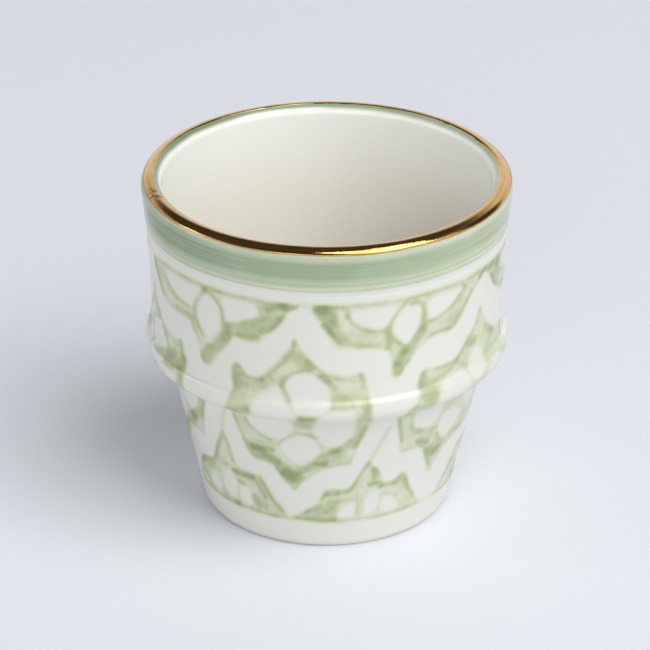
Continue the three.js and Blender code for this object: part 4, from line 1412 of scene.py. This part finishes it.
class CUP_OT_stage(bpy.types.Operator):
    """Set the floor, the soft light and the camera"""

    bl_idname = "cup.stage"
    bl_label = "Stage"

    def execute(self, context):
        settings = context.scene.cup_stage
        self.lay_floor(settings)
        self.light_world(context.scene, settings)
        for side, size in LAMP_SIZES.items():
            self.add_lamp(side, size, settings)
        self.set_camera(context.scene, settings)
        context.scene.view_settings.view_transform = "Standard"
        return {"FINISHED"}

    def lay_floor(self, settings):
        """One wide floor."""
        mesh = bpy.data.meshes.new("pale_floor")
        grid = bmesh.new()
        bmesh.ops.create_grid(grid, x_segments=FLOOR_SEGMENTS, y_segments=FLOOR_SEGMENTS, size=FLOOR_REACH)
        grid.to_mesh(mesh)
        grid.free()
        floor = bpy.data.objects.new("pale_floor", mesh)
        bpy.context.collection.objects.link(floor)
        mesh.materials.append(floor_material(settings))

    def light_world(self, scene, settings):
        """A pale room with a dark ceiling and a dark doorway, which show in the gilding."""
        world = bpy.data.worlds.new("pale_room")
        scene.world = world
        world.use_nodes = True
        wires = Wiring(world.node_tree)
        direction = wires.node("ShaderNodeTexCoord").outputs["Generated"]
        shares = []
        for middle, start, full in (DARK_CEILING, DARK_DOORWAY):
            towards = wires.vector_math("DOT_PRODUCT", direction, middle)["Value"]
            shares.append(wires.ramp(towards, start, full))
        dark = wires.math("MAXIMUM", *shares)
        background = world.node_tree.nodes["Background"].inputs
        wires.feed(background["Color"], wires.blend(dark, settings.room_colour, settings.dark_colour))
        background["Strength"].default_value = settings.room_strength

    def add_lamp(self, side, size, settings):
        """A soft rectangular lamp that faces the cup from one side."""
        name = side + "_softbox"
        azimuth = getattr(settings, side + "_azimuth")
        elevation = getattr(settings, side + "_elevation")
        lamp = bpy.data.lights.new(name, "AREA")
        lamp.shape = "RECTANGLE"
        lamp.size, lamp.size_y = size
        lamp.energy = getattr(settings, side + "_power")
        made = bpy.data.objects.new(name, lamp)
        bpy.context.collection.objects.link(made)
        level = math.cos(elevation)
        towards = Vector((math.sin(azimuth) * level, -math.cos(azimuth) * level, math.sin(elevation)))
        made.location = towards * LAMP_DISTANCE
        made.rotation_euler = towards.to_track_quat("Z", "Y").to_euler()

    def set_camera(self, scene, settings):
        """The photograph's viewing angle."""
        lens = bpy.data.cameras.new("camera")
        lens.lens = LENS_LENGTH
        lens.sensor_width = SENSOR_WIDTH
        lens.shift_x = LENS_SHIFT
        made = bpy.data.objects.new("camera", lens)
        scene.collection.objects.link(made)
        up = settings.camera_elevation
        back = Vector((0, -math.cos(up), math.sin(up)))
        made.location = Vector((0, 0, settings.camera_target)) + back * settings.camera_distance
        made.rotation_euler = back.to_track_quat("Z", "Y").to_euler()
        scene.camera = made


OPERATORS = (
    CUP_OT_clay_body, CUP_OT_outer_glaze, CUP_OT_inner_glaze, CUP_OT_rim_band, CUP_OT_gold_rim, CUP_OT_stage,
)


class VIEW3D_PT_ceramic_cup(bpy.types.Panel):
    """Lists the cup's pieces and sizes"""

    bl_label = "Ceramic Cup"
    bl_space_type = "VIEW_3D"
    bl_region_type = "UI"
    bl_category = "Cup"

    def draw(self, context):
        for operator in OPERATORS:
            self.layout.operator(operator.bl_idname)
        for group in (context.scene.cup_sizes, context.scene.cup_colours, context.scene.cup_stage):
            box = self.layout.box()
            for name in group.__annotations__:
                box.prop(group, name)


CLASSES = (CupSizes, CupColours, StageSettings, *OPERATORS, VIEW3D_PT_ceramic_cup)


def register():
    for made in CLASSES:
        bpy.utils.register_class(made)
    bpy.types.Scene.cup_sizes = PointerProperty(type=CupSizes)
    bpy.types.Scene.cup_colours = PointerProperty(type=CupColours)
    bpy.types.Scene.cup_stage = PointerProperty(type=StageSettings)


def unregister():
    del bpy.types.Scene.cup_stage
    del bpy.types.Scene.cup_colours
    del bpy.types.Scene.cup_sizes
    for made in reversed(CLASSES):
        bpy.utils.unregister_class(made)


def main():
    register()
    bpy.ops.cup.clay_body()
    bpy.ops.cup.outer_glaze()
    bpy.ops.cup.inner_glaze()
    bpy.ops.cup.rim_band()
    bpy.ops.cup.gold_rim()
    bpy.ops.cup.stage()


if __name__ == "__main__":
    main()
